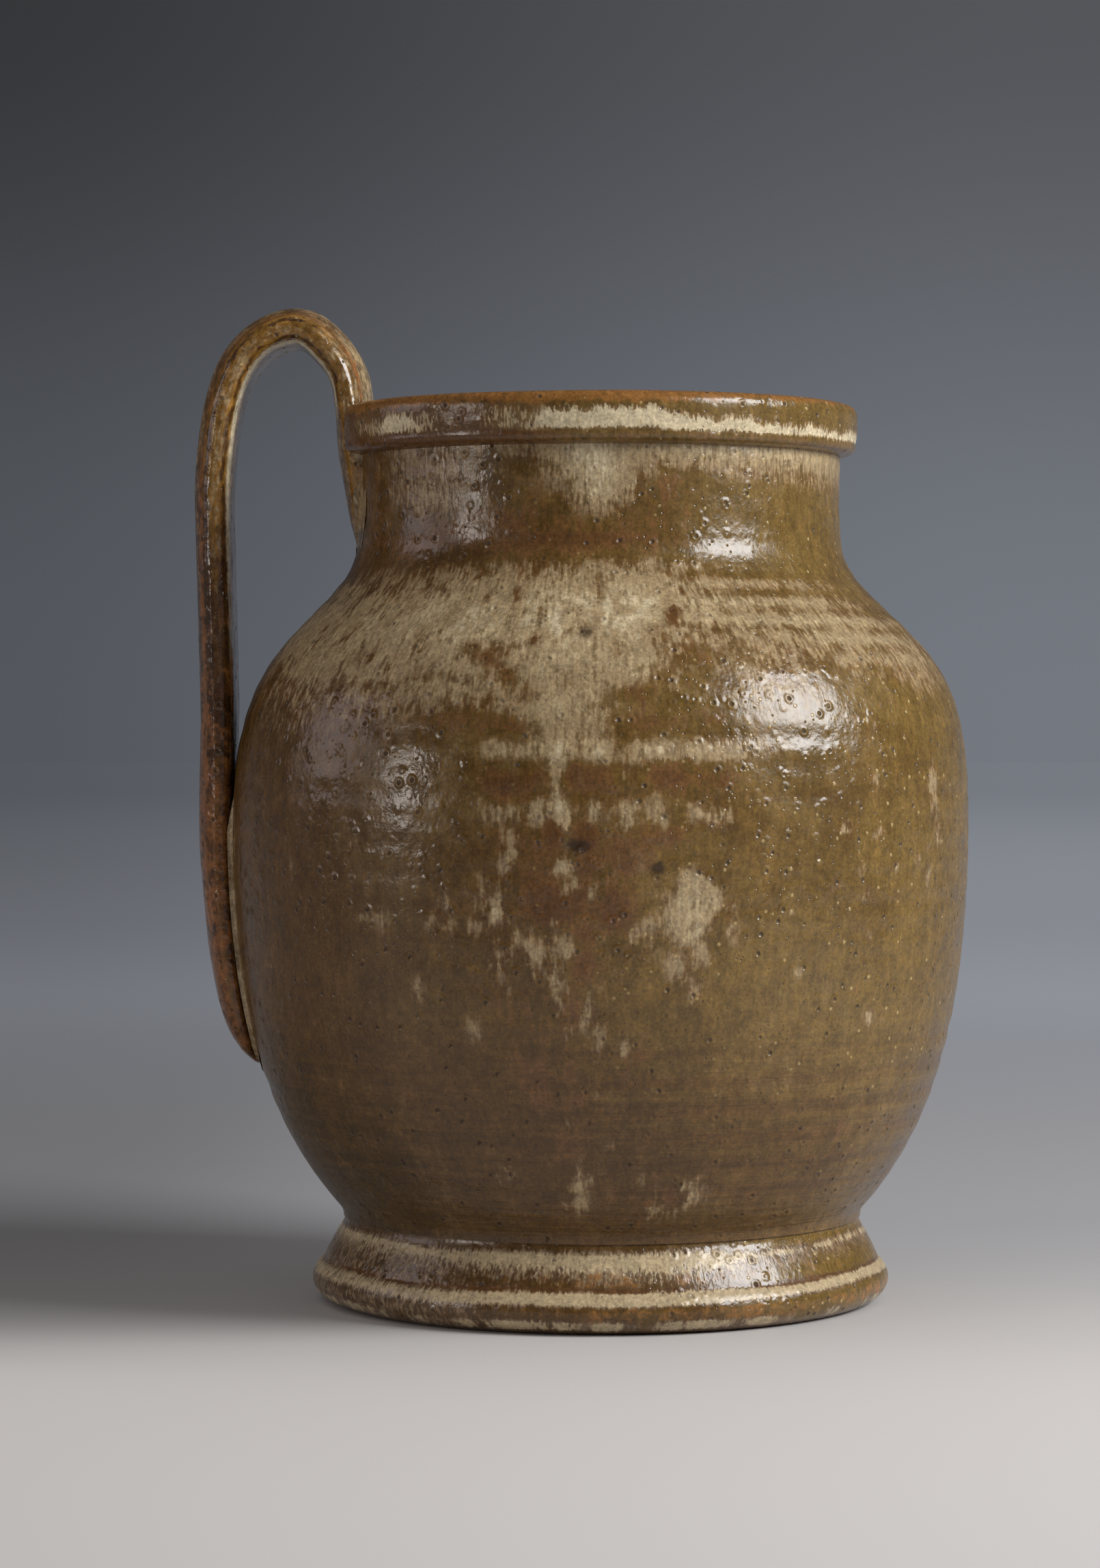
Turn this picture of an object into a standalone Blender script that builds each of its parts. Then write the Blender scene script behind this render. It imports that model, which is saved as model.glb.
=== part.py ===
"""Wheel-thrown stoneware pitcher, as the clay members a potter throws, pulls and lutes together.

Metres, +Z up. The origin is the middle of the resting face, and the handle stands on the -X side.
"""

import math

import bmesh
import bpy
from mathutils import Vector
from mathutils.geometry import interpolate_bezier

# Luted faces
SLIP_GAP = 0.0003  # layer of slip left between two members
TONGUE_DEPTH = 0.0018  # V tongue and groove scored into each luted ring

# Foot
FOOT_REST_RADIUS = 0.0630
FOOT_BEAD_RADIUS = 0.0684
FOOT_BEAD_HEIGHT = 0.0095
FOOT_BEAD_LEDGE = 0.0020  # step from the bead in to the cove above it
FOOT_HEIGHT = 0.0200
FLOOR_THICKNESS = 0.0090
FLOOR_FILLET = 0.0080

# Belly and shoulder
WAIST_RADIUS = 0.0620
BELLY_RADIUS = 0.0875
LOWER_BELLY_HEIGHT = 0.0930
UPPER_BELLY_HEIGHT = 0.0670
BELLY_WALL = 0.0060
WAIST_FLARE = math.radians(49.0)  # angle at which the lower belly leaves the waist
WAIST_PULL = 0.23  # share of the lower height that keeps that flare
LOWER_FULLNESS = 0.55  # share of the lower height that stays near the widest radius
UPPER_FULLNESS = 0.50
SHOULDER_SPREAD = 0.0085  # shoulder's turning point, measured out from the neck
SHOULDER_DROP = 0.0148  # and down from the neck's base
SHOULDER_SLOPE = math.radians(45.0)
SHOULDER_PULL = 0.0170
COVE_PULL = 0.0060  # roundness of the hollow between shoulder and neck

# Neck and rim
NECK_RADIUS = 0.0575
NECK_LENGTH = 0.0205
NECK_WALL = 0.0052
RIM_RADIUS = 0.0617
RIM_HEIGHT = 0.0112
RIM_WALL = 0.0078
RIM_GROOVE = 0.0008  # depth of the groove between the rim's two rolls
LOW_ROLL = 0.24  # heights of the rim's rolls and groove, as shares of its height
GROOVE_LINE = 0.46
LIP_ROLL = 0.68
ROLL_SOFTNESS = 0.10
MOUTH_ROUNDING = 0.35

# Handle strap
STRAP_WIDTH_NECK = 0.0230  # end of the upper tail
STRAP_WIDTH_RIM = 0.0340
STRAP_WIDTH_GRIP = 0.0280
STRAP_WIDTH_TAIL = 0.0240
STRAP_THICKNESS_NECK = 0.0050
STRAP_THICKNESS_RIM = 0.0082
STRAP_THICKNESS_GRIP = 0.0072
STRAP_THICKNESS_TAIL = 0.0078
STRAP_SQUARENESS = 2.6  # 2 is an oval section, more is squarer
HANDLE_RISE = 0.0232  # top of the arch above the rim
ARCH_SET_OUT = 0.0160  # apex of the arch, out from the neck wall
GRIP_GAP = 0.0312  # clear finger space between neck and strap
RIM_OVERHANG = 0.0022  # how far the strap stands out past the rim it crosses
NECK_TAIL_PROUD = 0.0016  # upper tail's height off the neck at its end
NECK_TAIL_LENGTH = 0.0165  # upper tail below the rim
BELLY_TAIL_LENGTH = 0.0570  # lower tail below the belly's widest line
TAIL_ROUNDING = 0.0170  # length of the lower tail's rounded tip
TAIL_TIP = 0.28  # share of width and thickness left at the very tip
ARCH_CLIMB = 0.55  # roundness of the arch: up from the rim, in to the apex, out from it, down to the grip
ARCH_INWARD = 0.80
ARCH_OUTWARD = 0.60
ARCH_FALL = 0.60
PRESS_START = 0.50  # share of the grip after which the strap bends round the belly

# Joint coils
COIL_RADIUS = 0.0014
COIL_END = 0.35  # share of the radius left where the ends are worked down into the crease
COIL_END_STEPS = 2  # points of the path over which an end thins out
COIL_RIM_GAP = 0.0012  # upper coil stops this far under the rim

# Smoothness of the round forms
TURN_STEPS = 48
LOWER_WALL_STEPS = 10
UPPER_WALL_STEPS = 6
ROUND_STEPS = 4
GROOVE_STEPS = 2
FINE_STEPS = 48
SECTION_STEPS = 16
COIL_SIDES = 8
ARCH_STEPS = 8
TAIL_STEPS = 12
TIP_STEPS = 8
SHARP_ANGLE = math.radians(35.0)
MERGE_DISTANCE = 1e-6
TIP_DROP = 2.4  # how far below a tail's end its coil turns, in coil clearances

# Heights of the luted lines
WAIST_Z = FOOT_HEIGHT
BELLY_Z = WAIST_Z + LOWER_BELLY_HEIGHT
NECK_Z = BELLY_Z + UPPER_BELLY_HEIGHT
RIM_Z = NECK_Z + NECK_LENGTH
TOP_Z = RIM_Z + RIM_HEIGHT


def clear_scene():
    for item in list(bpy.data.objects):
        bpy.data.objects.remove(item, do_unlink=True)


def glaze(name, colour, roughness):
    """A glazed or bare clay surface."""
    material = bpy.data.materials.new(name)
    material.use_nodes = True
    shader = material.node_tree.nodes["Principled BSDF"]
    shader.inputs["Base Color"].default_value = (*colour, 1.0)
    shader.inputs["Roughness"].default_value = roughness
    shader.inputs["Metallic"].default_value = 0.0
    return material


def add_object(name, bm, material, parent):
    """A bmesh as a named, smooth-shaded object with its faces turned out."""
    bmesh.ops.recalc_face_normals(bm, faces=bm.faces)
    mesh = bpy.data.meshes.new(name)
    bm.to_mesh(mesh)
    bm.free()
    mesh.shade_smooth()
    mesh.set_sharp_from_angle(angle=SHARP_ANGLE)
    mesh.materials.append(material)
    item = bpy.data.objects.new(name, mesh)
    bpy.context.collection.objects.link(item)
    item.parent = parent
    return item


def bezier(start, start_pull, end_pull, end, steps):
    """Points of one cubic curve, given as (radius, height) pairs, both ends included."""
    knots = [Vector(point) for point in (start, start_pull, end_pull, end)]
    return [tuple(point) for point in interpolate_bezier(*knots, steps + 1)]


def turned(name, outline, material, parent):
    """An outline of (radius, height) pairs spun about Z; ends on the axis close into poles."""
    bm = bmesh.new()
    corners = [bm.verts.new((radius, 0.0, height)) for radius, height in outline]
    on_axis = outline[0][0] == 0.0 and outline[-1][0] == 0.0
    edges = [bm.edges.new(pair) for pair in zip(corners, corners[1:])]
    if not on_axis:
        edges.append(bm.edges.new((corners[-1], corners[0])))
    bmesh.ops.spin(bm, geom=corners + edges, cent=(0, 0, 0), axis=(0, 0, 1), dvec=(0, 0, 0),
                   angle=math.tau, steps=TURN_STEPS, use_merge=True, use_duplicate=False)
    bmesh.ops.remove_doubles(bm, verts=bm.verts, dist=MERGE_DISTANCE)
    return add_object(name, bm, material, parent)


def lower_wall(steps):
    """Outside of the lower belly, waist to widest line."""
    pull = WAIST_PULL * LOWER_BELLY_HEIGHT
    flare = (WAIST_RADIUS + pull * math.cos(WAIST_FLARE), WAIST_Z + pull * math.sin(WAIST_FLARE))
    fullness = (BELLY_RADIUS, BELLY_Z - LOWER_FULLNESS * LOWER_BELLY_HEIGHT)
    return bezier((WAIST_RADIUS, WAIST_Z), flare, fullness, (BELLY_RADIUS, BELLY_Z), steps)


def upper_wall(steps):
    """Outside of the upper belly, widest line over the shoulder to the neck's base."""
    turn = Vector((NECK_RADIUS + SHOULDER_SPREAD, NECK_Z - SHOULDER_DROP))
    slope = Vector((-math.cos(SHOULDER_SLOPE), math.sin(SHOULDER_SLOPE)))
    fullness = (BELLY_RADIUS, BELLY_Z + UPPER_FULLNESS * UPPER_BELLY_HEIGHT)
    crown = bezier((BELLY_RADIUS, BELLY_Z), fullness, turn - slope * SHOULDER_PULL, turn, steps)
    cove = bezier(turn, turn + slope * COVE_PULL, (NECK_RADIUS, NECK_Z - COVE_PULL),
                  (NECK_RADIUS, NECK_Z), steps)
    return crown + cove[1:]


def inner_wall(outside, wall_start, wall_end):
    """The inside of a wall: each point moved in until the wall has its thickness square to the surface."""
    inside = []
    last = len(outside) - 1
    for index, (radius, height) in enumerate(outside):
        before = outside[max(index - 1, 0)]
        after = outside[min(index + 1, last)]
        lean = (after[0] - before[0]) / (after[1] - before[1])
        if index == last:
            lean = 0.0
        wall = wall_start + (wall_end - wall_start) * index / last
        inside.append((radius - wall * math.hypot(1.0, lean), height))
    return inside


def belly_radius_at(height):
    """Outside radius of the lower belly at a height between the waist and the widest line."""
    points = lower_wall(FINE_STEPS)
    for (radius, low), (radius_above, high) in zip(points, points[1:]):
        if low <= height <= high:
            return radius + (radius_above - radius) * (height - low) / (high - low)
    return BELLY_RADIUS


def luted_face(inner_radius, outer_radius, height):
    """A ring face with its V, from the outside in; the V points down on both members."""
    middle = (inner_radius + outer_radius) / 2
    return [(outer_radius, height), (middle, height - TONGUE_DEPTH), (inner_radius, height)]


def raised(points):
    """A luted face of the member above, lifted by the slip between the two."""
    return [(radius, height + SLIP_GAP) for radius, height in points]


def foot_outline():
    """The outside of the foot from the resting face up to the waist."""
    bead_middle = FOOT_BEAD_HEIGHT / 2
    rest = (FOOT_REST_RADIUS, 0.0)
    widest = (FOOT_BEAD_RADIUS, bead_middle)
    ledge = (FOOT_BEAD_RADIUS - FOOT_BEAD_LEDGE, FOOT_BEAD_HEIGHT)
    under = bezier(rest, ((FOOT_REST_RADIUS + FOOT_BEAD_RADIUS) / 2, 0.0),
                   (FOOT_BEAD_RADIUS, bead_middle / 2), widest, ROUND_STEPS)
    over = bezier(widest, (FOOT_BEAD_RADIUS, bead_middle * 1.5),
                  (ledge[0] + FOOT_BEAD_LEDGE / 2, FOOT_BEAD_HEIGHT), ledge, ROUND_STEPS)
    rise = WAIST_Z - FOOT_BEAD_HEIGHT
    cove = bezier(ledge, (ledge[0] - (ledge[0] - WAIST_RADIUS) / 2, ledge[1] + rise / 3),
                  (WAIST_RADIUS, WAIST_Z - rise / 3), (WAIST_RADIUS, WAIST_Z), ROUND_STEPS)
    return under + over[1:] + cove[1:]


def foot_base(material, parent):
    waist_inside = inner_wall(lower_wall(LOWER_WALL_STEPS), BELLY_WALL, BELLY_WALL)[0][0]
    floor_edge = waist_inside - FLOOR_FILLET
    corner = FLOOR_FILLET / 3
    bowl = bezier((waist_inside, WAIST_Z), (waist_inside - corner, FLOOR_THICKNESS + corner),
                  (floor_edge + corner, FLOOR_THICKNESS), (floor_edge, FLOOR_THICKNESS), ROUND_STEPS)
    face = luted_face(waist_inside, WAIST_RADIUS, WAIST_Z)
    outline = [(0.0, 0.0)] + foot_outline() + face[1:2] + bowl + [(0.0, FLOOR_THICKNESS)]
    return turned("foot_base", outline, material, parent)


def lower_belly(material, parent):
    outside = lower_wall(LOWER_WALL_STEPS)
    inside = inner_wall(outside, BELLY_WALL, BELLY_WALL)
    bottom = raised(luted_face(inside[0][0], WAIST_RADIUS, WAIST_Z))
    top = luted_face(inside[-1][0], BELLY_RADIUS, BELLY_Z)
    outline = bottom[::-1] + outside[1:-1] + top + inside[-2:0:-1]
    return turned("lower_belly", outline, material, parent)


def upper_belly(material, parent):
    outside = upper_wall(UPPER_WALL_STEPS)
    inside = inner_wall(outside, BELLY_WALL, NECK_WALL)
    lower_inside = inner_wall(lower_wall(LOWER_WALL_STEPS), BELLY_WALL, BELLY_WALL)[-1][0]
    bottom = raised(luted_face(lower_inside, BELLY_RADIUS, BELLY_Z))
    top = luted_face(inside[-1][0], NECK_RADIUS, NECK_Z)
    outline = bottom[::-1] + outside[1:-1] + top + inside[-2:0:-1]
    return turned("upper_belly", outline, material, parent)


def neck_collar(material, parent):
    inner_radius = NECK_RADIUS - NECK_WALL
    bottom = raised(luted_face(inner_radius, NECK_RADIUS, NECK_Z))
    top = luted_face(inner_radius, NECK_RADIUS, RIM_Z)
    return turned("neck_collar", bottom[::-1] + top, material, parent)


def rim_outside():
    """The rim from under its lower roll, over the groove and the lip, to the top of the crown."""
    under = (NECK_RADIUS, RIM_Z + SLIP_GAP)
    low_roll = (RIM_RADIUS, RIM_Z + RIM_HEIGHT * LOW_ROLL)
    groove = (RIM_RADIUS - RIM_GROOVE, RIM_Z + RIM_HEIGHT * GROOVE_LINE)
    lip = (RIM_RADIUS, RIM_Z + RIM_HEIGHT * LIP_ROLL)
    crown = (RIM_RADIUS - RIM_WALL / 2, TOP_Z)
    step = RIM_HEIGHT * ROLL_SOFTNESS
    overhang = bezier(under, ((NECK_RADIUS + RIM_RADIUS) / 2, under[1]), (RIM_RADIUS, low_roll[1] - step),
                      low_roll, ROUND_STEPS)
    into_groove = bezier(low_roll, (RIM_RADIUS, low_roll[1] + step), (groove[0], groove[1] - step),
                         groove, GROOVE_STEPS)
    to_lip = bezier(groove, (groove[0], groove[1] + step), (RIM_RADIUS, lip[1] - step), lip, GROOVE_STEPS)
    to_crown = bezier(lip, (RIM_RADIUS, lip[1] + 2 * step), (crown[0] + RIM_WALL / 4, TOP_Z),
                      crown, ROUND_STEPS)
    return overhang + into_groove[1:] + to_lip[1:] + to_crown[1:]


def rim_band(material, parent):
    inner_radius = NECK_RADIUS - NECK_WALL
    outside = rim_outside()
    mouth = (RIM_RADIUS - RIM_WALL, TOP_Z - RIM_HEIGHT * MOUTH_ROUNDING)
    bore = (inner_radius, RIM_Z + SLIP_GAP)
    lip_inside = bezier(outside[-1], (outside[-1][0] - RIM_WALL / 4, TOP_Z),
                        (mouth[0], mouth[1] + 2 * RIM_HEIGHT * ROLL_SOFTNESS), mouth, ROUND_STEPS)
    seat = raised(luted_face(inner_radius, NECK_RADIUS, RIM_Z))
    outline = outside + lip_inside[1:] + [bore, seat[1]]
    return turned("rim_band", outline, material, parent)


def vessel_envelope(parent):
    """A cutter for the strap's upper root: the vessel's outside, filled solid and grown by the slip."""
    outside = [(NECK_RADIUS, NECK_Z), (NECK_RADIUS, RIM_Z)] + rim_outside()
    grown = [(radius + SLIP_GAP, height) for radius, height in outside]
    crown = grown[-1][0]
    outline = [(0.0, NECK_Z)] + grown + [(crown, TOP_Z + SLIP_GAP), (0.0, TOP_Z + SLIP_GAP)]
    cutter = turned("vessel_envelope", outline, None, parent)
    cutter.hide_render = True
    cutter.display_type = "WIRE"
    return cutter


def station(x, z, width, thickness, bend_radius):
    """One place on the strap: its middle, its section, and the radius its width is bent round (0 for flat)."""
    return {"middle": Vector((x, 0.0, z)), "width": width, "thickness": thickness, "bend": bend_radius}


def mixed(start, end, share):
    return start + (end - start) * share


def rim_crossing():
    """Where the strap's middle crosses the rim; it stands clear of rim and neck, whichever is wider."""
    outermost = max(RIM_RADIUS, NECK_RADIUS)
    return -(outermost + RIM_OVERHANG - STRAP_THICKNESS_RIM / 2), RIM_Z + RIM_HEIGHT / 2


def grip_top():
    """Where the strap's middle comes down from the arch into the grip."""
    return -(NECK_RADIUS + GRIP_GAP + STRAP_THICKNESS_GRIP / 2), NECK_Z + NECK_LENGTH / 2


def root_stations():
    """The upper tail, from its end low on the neck up to the rim."""
    low_x = -(NECK_RADIUS + NECK_TAIL_PROUD - STRAP_THICKNESS_NECK / 2)
    low_z = RIM_Z - NECK_TAIL_LENGTH
    rim_x, rim_z = rim_crossing()
    reach = (rim_z - low_z) / 3
    curve = bezier((low_x, low_z), (low_x - (low_x - rim_x) / 2, low_z + reach), (rim_x, rim_z - reach),
                   (rim_x, rim_z), ARCH_STEPS // 2)
    stations = []
    for index, (x, z) in enumerate(curve):
        share = index / (len(curve) - 1)
        width = mixed(STRAP_WIDTH_NECK, STRAP_WIDTH_RIM, share)
        thickness = mixed(STRAP_THICKNESS_NECK, STRAP_THICKNESS_RIM, share)
        stations.append(station(x, z, width, thickness, NECK_RADIUS))
    return stations


def arch_stations():
    """From the rim up over the arch and down to the top of the grip."""
    rim_x, rim_z = rim_crossing()
    grip_x, grip_z = grip_top()
    apex_x = -(NECK_RADIUS + ARCH_SET_OUT)
    apex_z = TOP_Z + HANDLE_RISE - STRAP_THICKNESS_RIM / 2
    climb = (apex_z - rim_z) * ARCH_CLIMB
    inward = (rim_x - apex_x) * ARCH_INWARD
    outward = (apex_x - grip_x) * ARCH_OUTWARD
    fall = (apex_z - grip_z) * ARCH_FALL
    rising = bezier((rim_x, rim_z), (rim_x, rim_z + climb), (apex_x + inward, apex_z), (apex_x, apex_z),
                    ARCH_STEPS)
    falling = bezier((apex_x, apex_z), (apex_x - outward, apex_z), (grip_x, grip_z + fall), (grip_x, grip_z),
                     ARCH_STEPS)
    stations = []
    for index, (x, z) in enumerate(rising[1:], start=1):
        flat = index / ARCH_STEPS
        bend = NECK_RADIUS / (1.0 - flat) if flat < 1.0 else 0.0
        stations.append(station(x, z, STRAP_WIDTH_RIM, STRAP_THICKNESS_RIM, bend))
    for index, (x, z) in enumerate(falling[1:], start=1):
        share = index / ARCH_STEPS
        width = mixed(STRAP_WIDTH_RIM, STRAP_WIDTH_GRIP, share)
        thickness = mixed(STRAP_THICKNESS_RIM, STRAP_THICKNESS_GRIP, share)
        stations.append(station(x, z, width, thickness, 0.0))
    return stations


def grip_stations():
    """The grip, from its top down to where the strap meets the belly's widest line."""
    grip_x, grip_z = grip_top()
    belly_x = -(BELLY_RADIUS + SLIP_GAP + STRAP_THICKNESS_TAIL / 2)
    reach = (grip_z - BELLY_Z) / 3
    curve = bezier((grip_x, grip_z), (grip_x, grip_z - reach), (belly_x, BELLY_Z + reach), (belly_x, BELLY_Z),
                   ARCH_STEPS)
    stations = []
    for index, (x, z) in enumerate(curve[1:], start=1):
        share = index / ARCH_STEPS
        width = mixed(STRAP_WIDTH_GRIP, STRAP_WIDTH_TAIL, share)
        thickness = mixed(STRAP_THICKNESS_GRIP, STRAP_THICKNESS_TAIL, share)
        pressed = max(0.0, (share - PRESS_START) / (1.0 - PRESS_START))
        bend = BELLY_RADIUS / pressed if pressed > 0.0 else 0.0
        stations.append(station(x, z, width, thickness, bend))
    return stations


def tail_stations():
    """The lower tail, pressed along the belly to its rounded tip."""
    stations = []
    for index in range(1, TAIL_STEPS + 1):
        drop = BELLY_TAIL_LENGTH * math.sin(index / TAIL_STEPS * math.pi / 2)
        past = max(0.0, (drop - BELLY_TAIL_LENGTH + TAIL_ROUNDING) / TAIL_ROUNDING)
        left = max(TAIL_TIP, math.sqrt(max(0.0, 1.0 - past * past)))
        thickness = STRAP_THICKNESS_TAIL * left
        radius = belly_radius_at(BELLY_Z - drop)
        lean = (radius - belly_radius_at(BELLY_Z - drop - SLIP_GAP)) / SLIP_GAP
        clear = (SLIP_GAP + thickness / 2) * math.hypot(1.0, lean)
        stations.append(station(-(radius + clear), BELLY_Z - drop, STRAP_WIDTH_TAIL * left, thickness, radius))
    return stations


def squared(value):
    """A cosine or sine of the strap's section, pushed out towards a rounded rectangle."""
    return math.copysign(abs(value) ** (2 / STRAP_SQUARENESS), value)


def section(place, along):
    """The strap's rounded section at one station, square to the path and bent round the vessel."""
    outward = Vector((0.0, 1.0, 0.0)).cross(along).normalized()
    ring = []
    for index in range(SECTION_STEPS):
        turn = math.tau * index / SECTION_STEPS
        across = squared(math.cos(turn)) * place["width"] / 2
        depth = squared(math.sin(turn)) * place["thickness"] / 2
        sag = across * across / (2 * place["bend"]) if place["bend"] else 0.0
        ring.append(place["middle"] + Vector((sag, across, 0.0)) + outward * depth)
    return ring


def lofted(rings):
    """A closed tube through rings of points, capped at both ends."""
    bm = bmesh.new()
    loops = [[bm.verts.new(point) for point in ring] for ring in rings]
    count = len(loops[0])
    for ring, following in zip(loops, loops[1:]):
        for index in range(count):
            beside = (index + 1) % count
            bm.faces.new((ring[index], ring[beside], following[beside], following[index]))
    bm.faces.new(loops[0])
    bm.faces.new(loops[-1])
    return bm


def directions(points):
    """The path's direction at each of its points."""
    ahead = points[1:] + points[-1:]
    behind = points[:1] + points[:-1]
    return [(after - before).normalized() for after, before in zip(ahead, behind)]


def handle_strap(material, parent):
    stations = root_stations() + arch_stations() + grip_stations() + tail_stations()
    along = directions([place["middle"] for place in stations])
    rings = [section(place, direction) for place, direction in zip(stations, along)]
    strap = add_object("handle_strap", lofted(rings), material, parent)
    cut = strap.modifiers.new("root_cut", "BOOLEAN")
    cut.operation = "DIFFERENCE"
    cut.solver = "EXACT"
    cut.object = vessel_envelope(parent)
    return strap


def on_vessel(radius, across, height):
    """A point on the handle's side of the vessel, at a distance across measured round its surface."""
    turn = across / radius
    return Vector((-radius * math.cos(turn), radius * math.sin(turn), height))


def crease_path(edge, surface_radius):
    """A path down one side of a strap tail, round its end and up the other side.

    edge holds (half width, height) of the tail from top to end, and surface_radius gives the vessel's
    radius at a height. The path keeps the coil clear of the strap's edge and of the vessel.
    """
    clear = SLIP_GAP + COIL_RADIUS
    flat = [Vector(place) for place in edge]
    side = []
    for place, along in zip(flat, directions(flat)):
        side.append(place + Vector((-along.y, along.x)) * clear)
    half, height = side[-1]
    tip = []
    for index in range(1, TIP_STEPS):
        angle = math.pi * index / TIP_STEPS
        tip.append(Vector((half * math.cos(angle), height - TIP_DROP * clear * math.sin(angle))))
    other = [Vector((-place.x, place.y)) for place in reversed(side)]
    path = []
    for across, height in side + tip + other:
        radius = surface_radius(height)
        lean = (radius - surface_radius(height - SLIP_GAP)) / SLIP_GAP
        path.append(on_vessel(radius + clear * math.hypot(1.0, lean), across, height))
    return path


def coil(name, points, material, parent):
    """A thin roll of clay along a path, worked down at both ends."""
    rings = []
    for step, (point, along) in enumerate(zip(points, directions(points))):
        from_end = min(step, len(points) - 1 - step)
        radius = COIL_RADIUS * min(1.0, mixed(COIL_END, 1.0, from_end / COIL_END_STEPS))
        outward = Vector((point.x, point.y, 0.0)).normalized()
        beside = along.cross(outward).normalized()
        outward = beside.cross(along)
        rings.append([
            point + (beside * math.cos(turn) + outward * math.sin(turn)) * radius
            for turn in (math.tau * index / COIL_SIDES for index in range(COIL_SIDES))
        ])
    return add_object(name, lofted(rings), material, parent)


def upper_joint_coil(material, parent):
    top = RIM_Z - COIL_RIM_GAP
    below_rim = [place for place in reversed(root_stations()) if place["middle"].z < top]
    edge = [(STRAP_WIDTH_RIM / 2, top)] + [(place["width"] / 2, place["middle"].z) for place in below_rim]
    return coil("upper_joint_coil", crease_path(edge, lambda height: NECK_RADIUS), material, parent)


def lower_joint_coil(material, parent):
    pressed = grip_stations()[-2:] + tail_stations()
    edge = [(place["width"] / 2, place["middle"].z) for place in pressed]
    return coil("lower_joint_coil", crease_path(edge, belly_radius_at), material, parent)


def main():
    clear_scene()
    pitcher = bpy.data.objects.new("pitcher", None)
    bpy.context.collection.objects.link(pitcher)
    foot_base(glaze("foot_glaze", (0.16, 0.11, 0.05), 0.35), pitcher)
    lower_belly(glaze("lower_belly_glaze", (0.15, 0.105, 0.045), 0.30), pitcher)
    upper_belly(glaze("upper_belly_glaze", (0.19, 0.14, 0.07), 0.30), pitcher)
    neck_collar(glaze("neck_glaze", (0.17, 0.12, 0.05), 0.30), pitcher)
    rim_band(glaze("rim_glaze", (0.18, 0.10, 0.04), 0.32), pitcher)
    handle_strap(glaze("handle_glaze", (0.17, 0.10, 0.04), 0.34), pitcher)
    upper_joint_coil(glaze("upper_coil_glaze", (0.30, 0.22, 0.12), 0.36), pitcher)
    lower_joint_coil(glaze("lower_coil_glaze", (0.34, 0.26, 0.15), 0.36), pitcher)


main()
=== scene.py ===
import math

import bmesh
import bpy
import numpy as np
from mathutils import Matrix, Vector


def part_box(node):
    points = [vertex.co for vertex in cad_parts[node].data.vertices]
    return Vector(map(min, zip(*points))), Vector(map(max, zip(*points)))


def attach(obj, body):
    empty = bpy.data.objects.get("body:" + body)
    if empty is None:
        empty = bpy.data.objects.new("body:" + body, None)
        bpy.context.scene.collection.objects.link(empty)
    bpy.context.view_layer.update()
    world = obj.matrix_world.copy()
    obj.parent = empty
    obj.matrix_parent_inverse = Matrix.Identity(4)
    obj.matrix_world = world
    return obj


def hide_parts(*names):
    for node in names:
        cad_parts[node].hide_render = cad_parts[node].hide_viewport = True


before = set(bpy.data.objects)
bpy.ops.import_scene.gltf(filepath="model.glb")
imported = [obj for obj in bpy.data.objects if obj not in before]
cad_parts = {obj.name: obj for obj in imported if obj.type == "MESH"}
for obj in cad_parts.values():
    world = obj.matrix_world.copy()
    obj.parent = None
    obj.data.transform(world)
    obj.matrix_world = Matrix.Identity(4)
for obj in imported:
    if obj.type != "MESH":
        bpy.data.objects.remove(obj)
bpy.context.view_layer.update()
print("frame loaded:", len(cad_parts), "nodes")

# heights and radii of the clay members, read from the frame
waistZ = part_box("foot_base")[1].z
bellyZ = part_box("lower_belly")[1].z
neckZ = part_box("upper_belly")[1].z
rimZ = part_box("neck_collar")[1].z
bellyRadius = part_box("lower_belly")[1].x
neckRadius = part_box("neck_collar")[1].x
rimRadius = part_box("rim_band")[1].x
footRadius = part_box("foot_base")[1].x

leanPerMetre = -0.0060  # the pot leans a little to the handle's side
sideways = [(0.150, 0.022, 0.0009), (0.0, 0.016, -0.0005)]  # height, half height, shift: the shoulder and the foot
legX = -0.07  # the strap's grip and tail lie beyond this x, its upper tail lies short of it

# nodes: a wire is a node's output that can be added, multiplied and so on


class Wire:
    def __init__(self, socket):
        self.socket, self.tree = socket, socket.id_data

    def __add__(self, other):
        return calc("ADD", self, other)

    def __sub__(self, other):
        return calc("SUBTRACT", self, other)

    def __rsub__(self, other):
        return calc("SUBTRACT", other, self)

    def __mul__(self, other):
        return calc("MULTIPLY", self, other)

    def __truediv__(self, other):
        return calc("DIVIDE", self, other)

    def __rtruediv__(self, other):
        return calc("DIVIDE", other, self)

    __radd__, __rmul__ = __add__, __mul__


def feed(node, feeds):  # link wires and set plain values
    for key, value in feeds.items():
        if isinstance(value, Wire):
            node.id_data.links.new(value.socket, node.inputs[key])
        else:
            node.inputs[key].default_value = value


def put(tree, kind, feeds=None, **settings):
    node = tree.nodes.new(kind)
    for key, value in settings.items():
        setattr(node, key, value)
    feed(node, feeds or {})
    return node


def wired(tree, kind, feeds=None, output=0, **settings):
    return Wire(put(tree, kind, feeds, **settings).outputs[output])


def calc(operation, *values):
    tree = next(value.tree for value in values if isinstance(value, Wire))
    return wired(tree, "ShaderNodeMath", dict(enumerate(values)), operation=operation)


def soft(value, low, high, top=1.0):  # smooth step from 0 at low to top at high
    feeds = {"Value": value, "From Min": low, "From Max": high, "To Min": 0.0, "To Max": top}
    return wired(value.tree, "ShaderNodeMapRange", feeds, interpolation_type="SMOOTHSTEP")


def mixed(share, first, second):  # a colour between two colours
    first, second = (value if isinstance(value, Wire) else (*value, 1.0) for value in (first, second))
    return wired(share.tree, "ShaderNodeMix", {0: share, 6: first, 7: second}, 2, data_type="RGBA")


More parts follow.
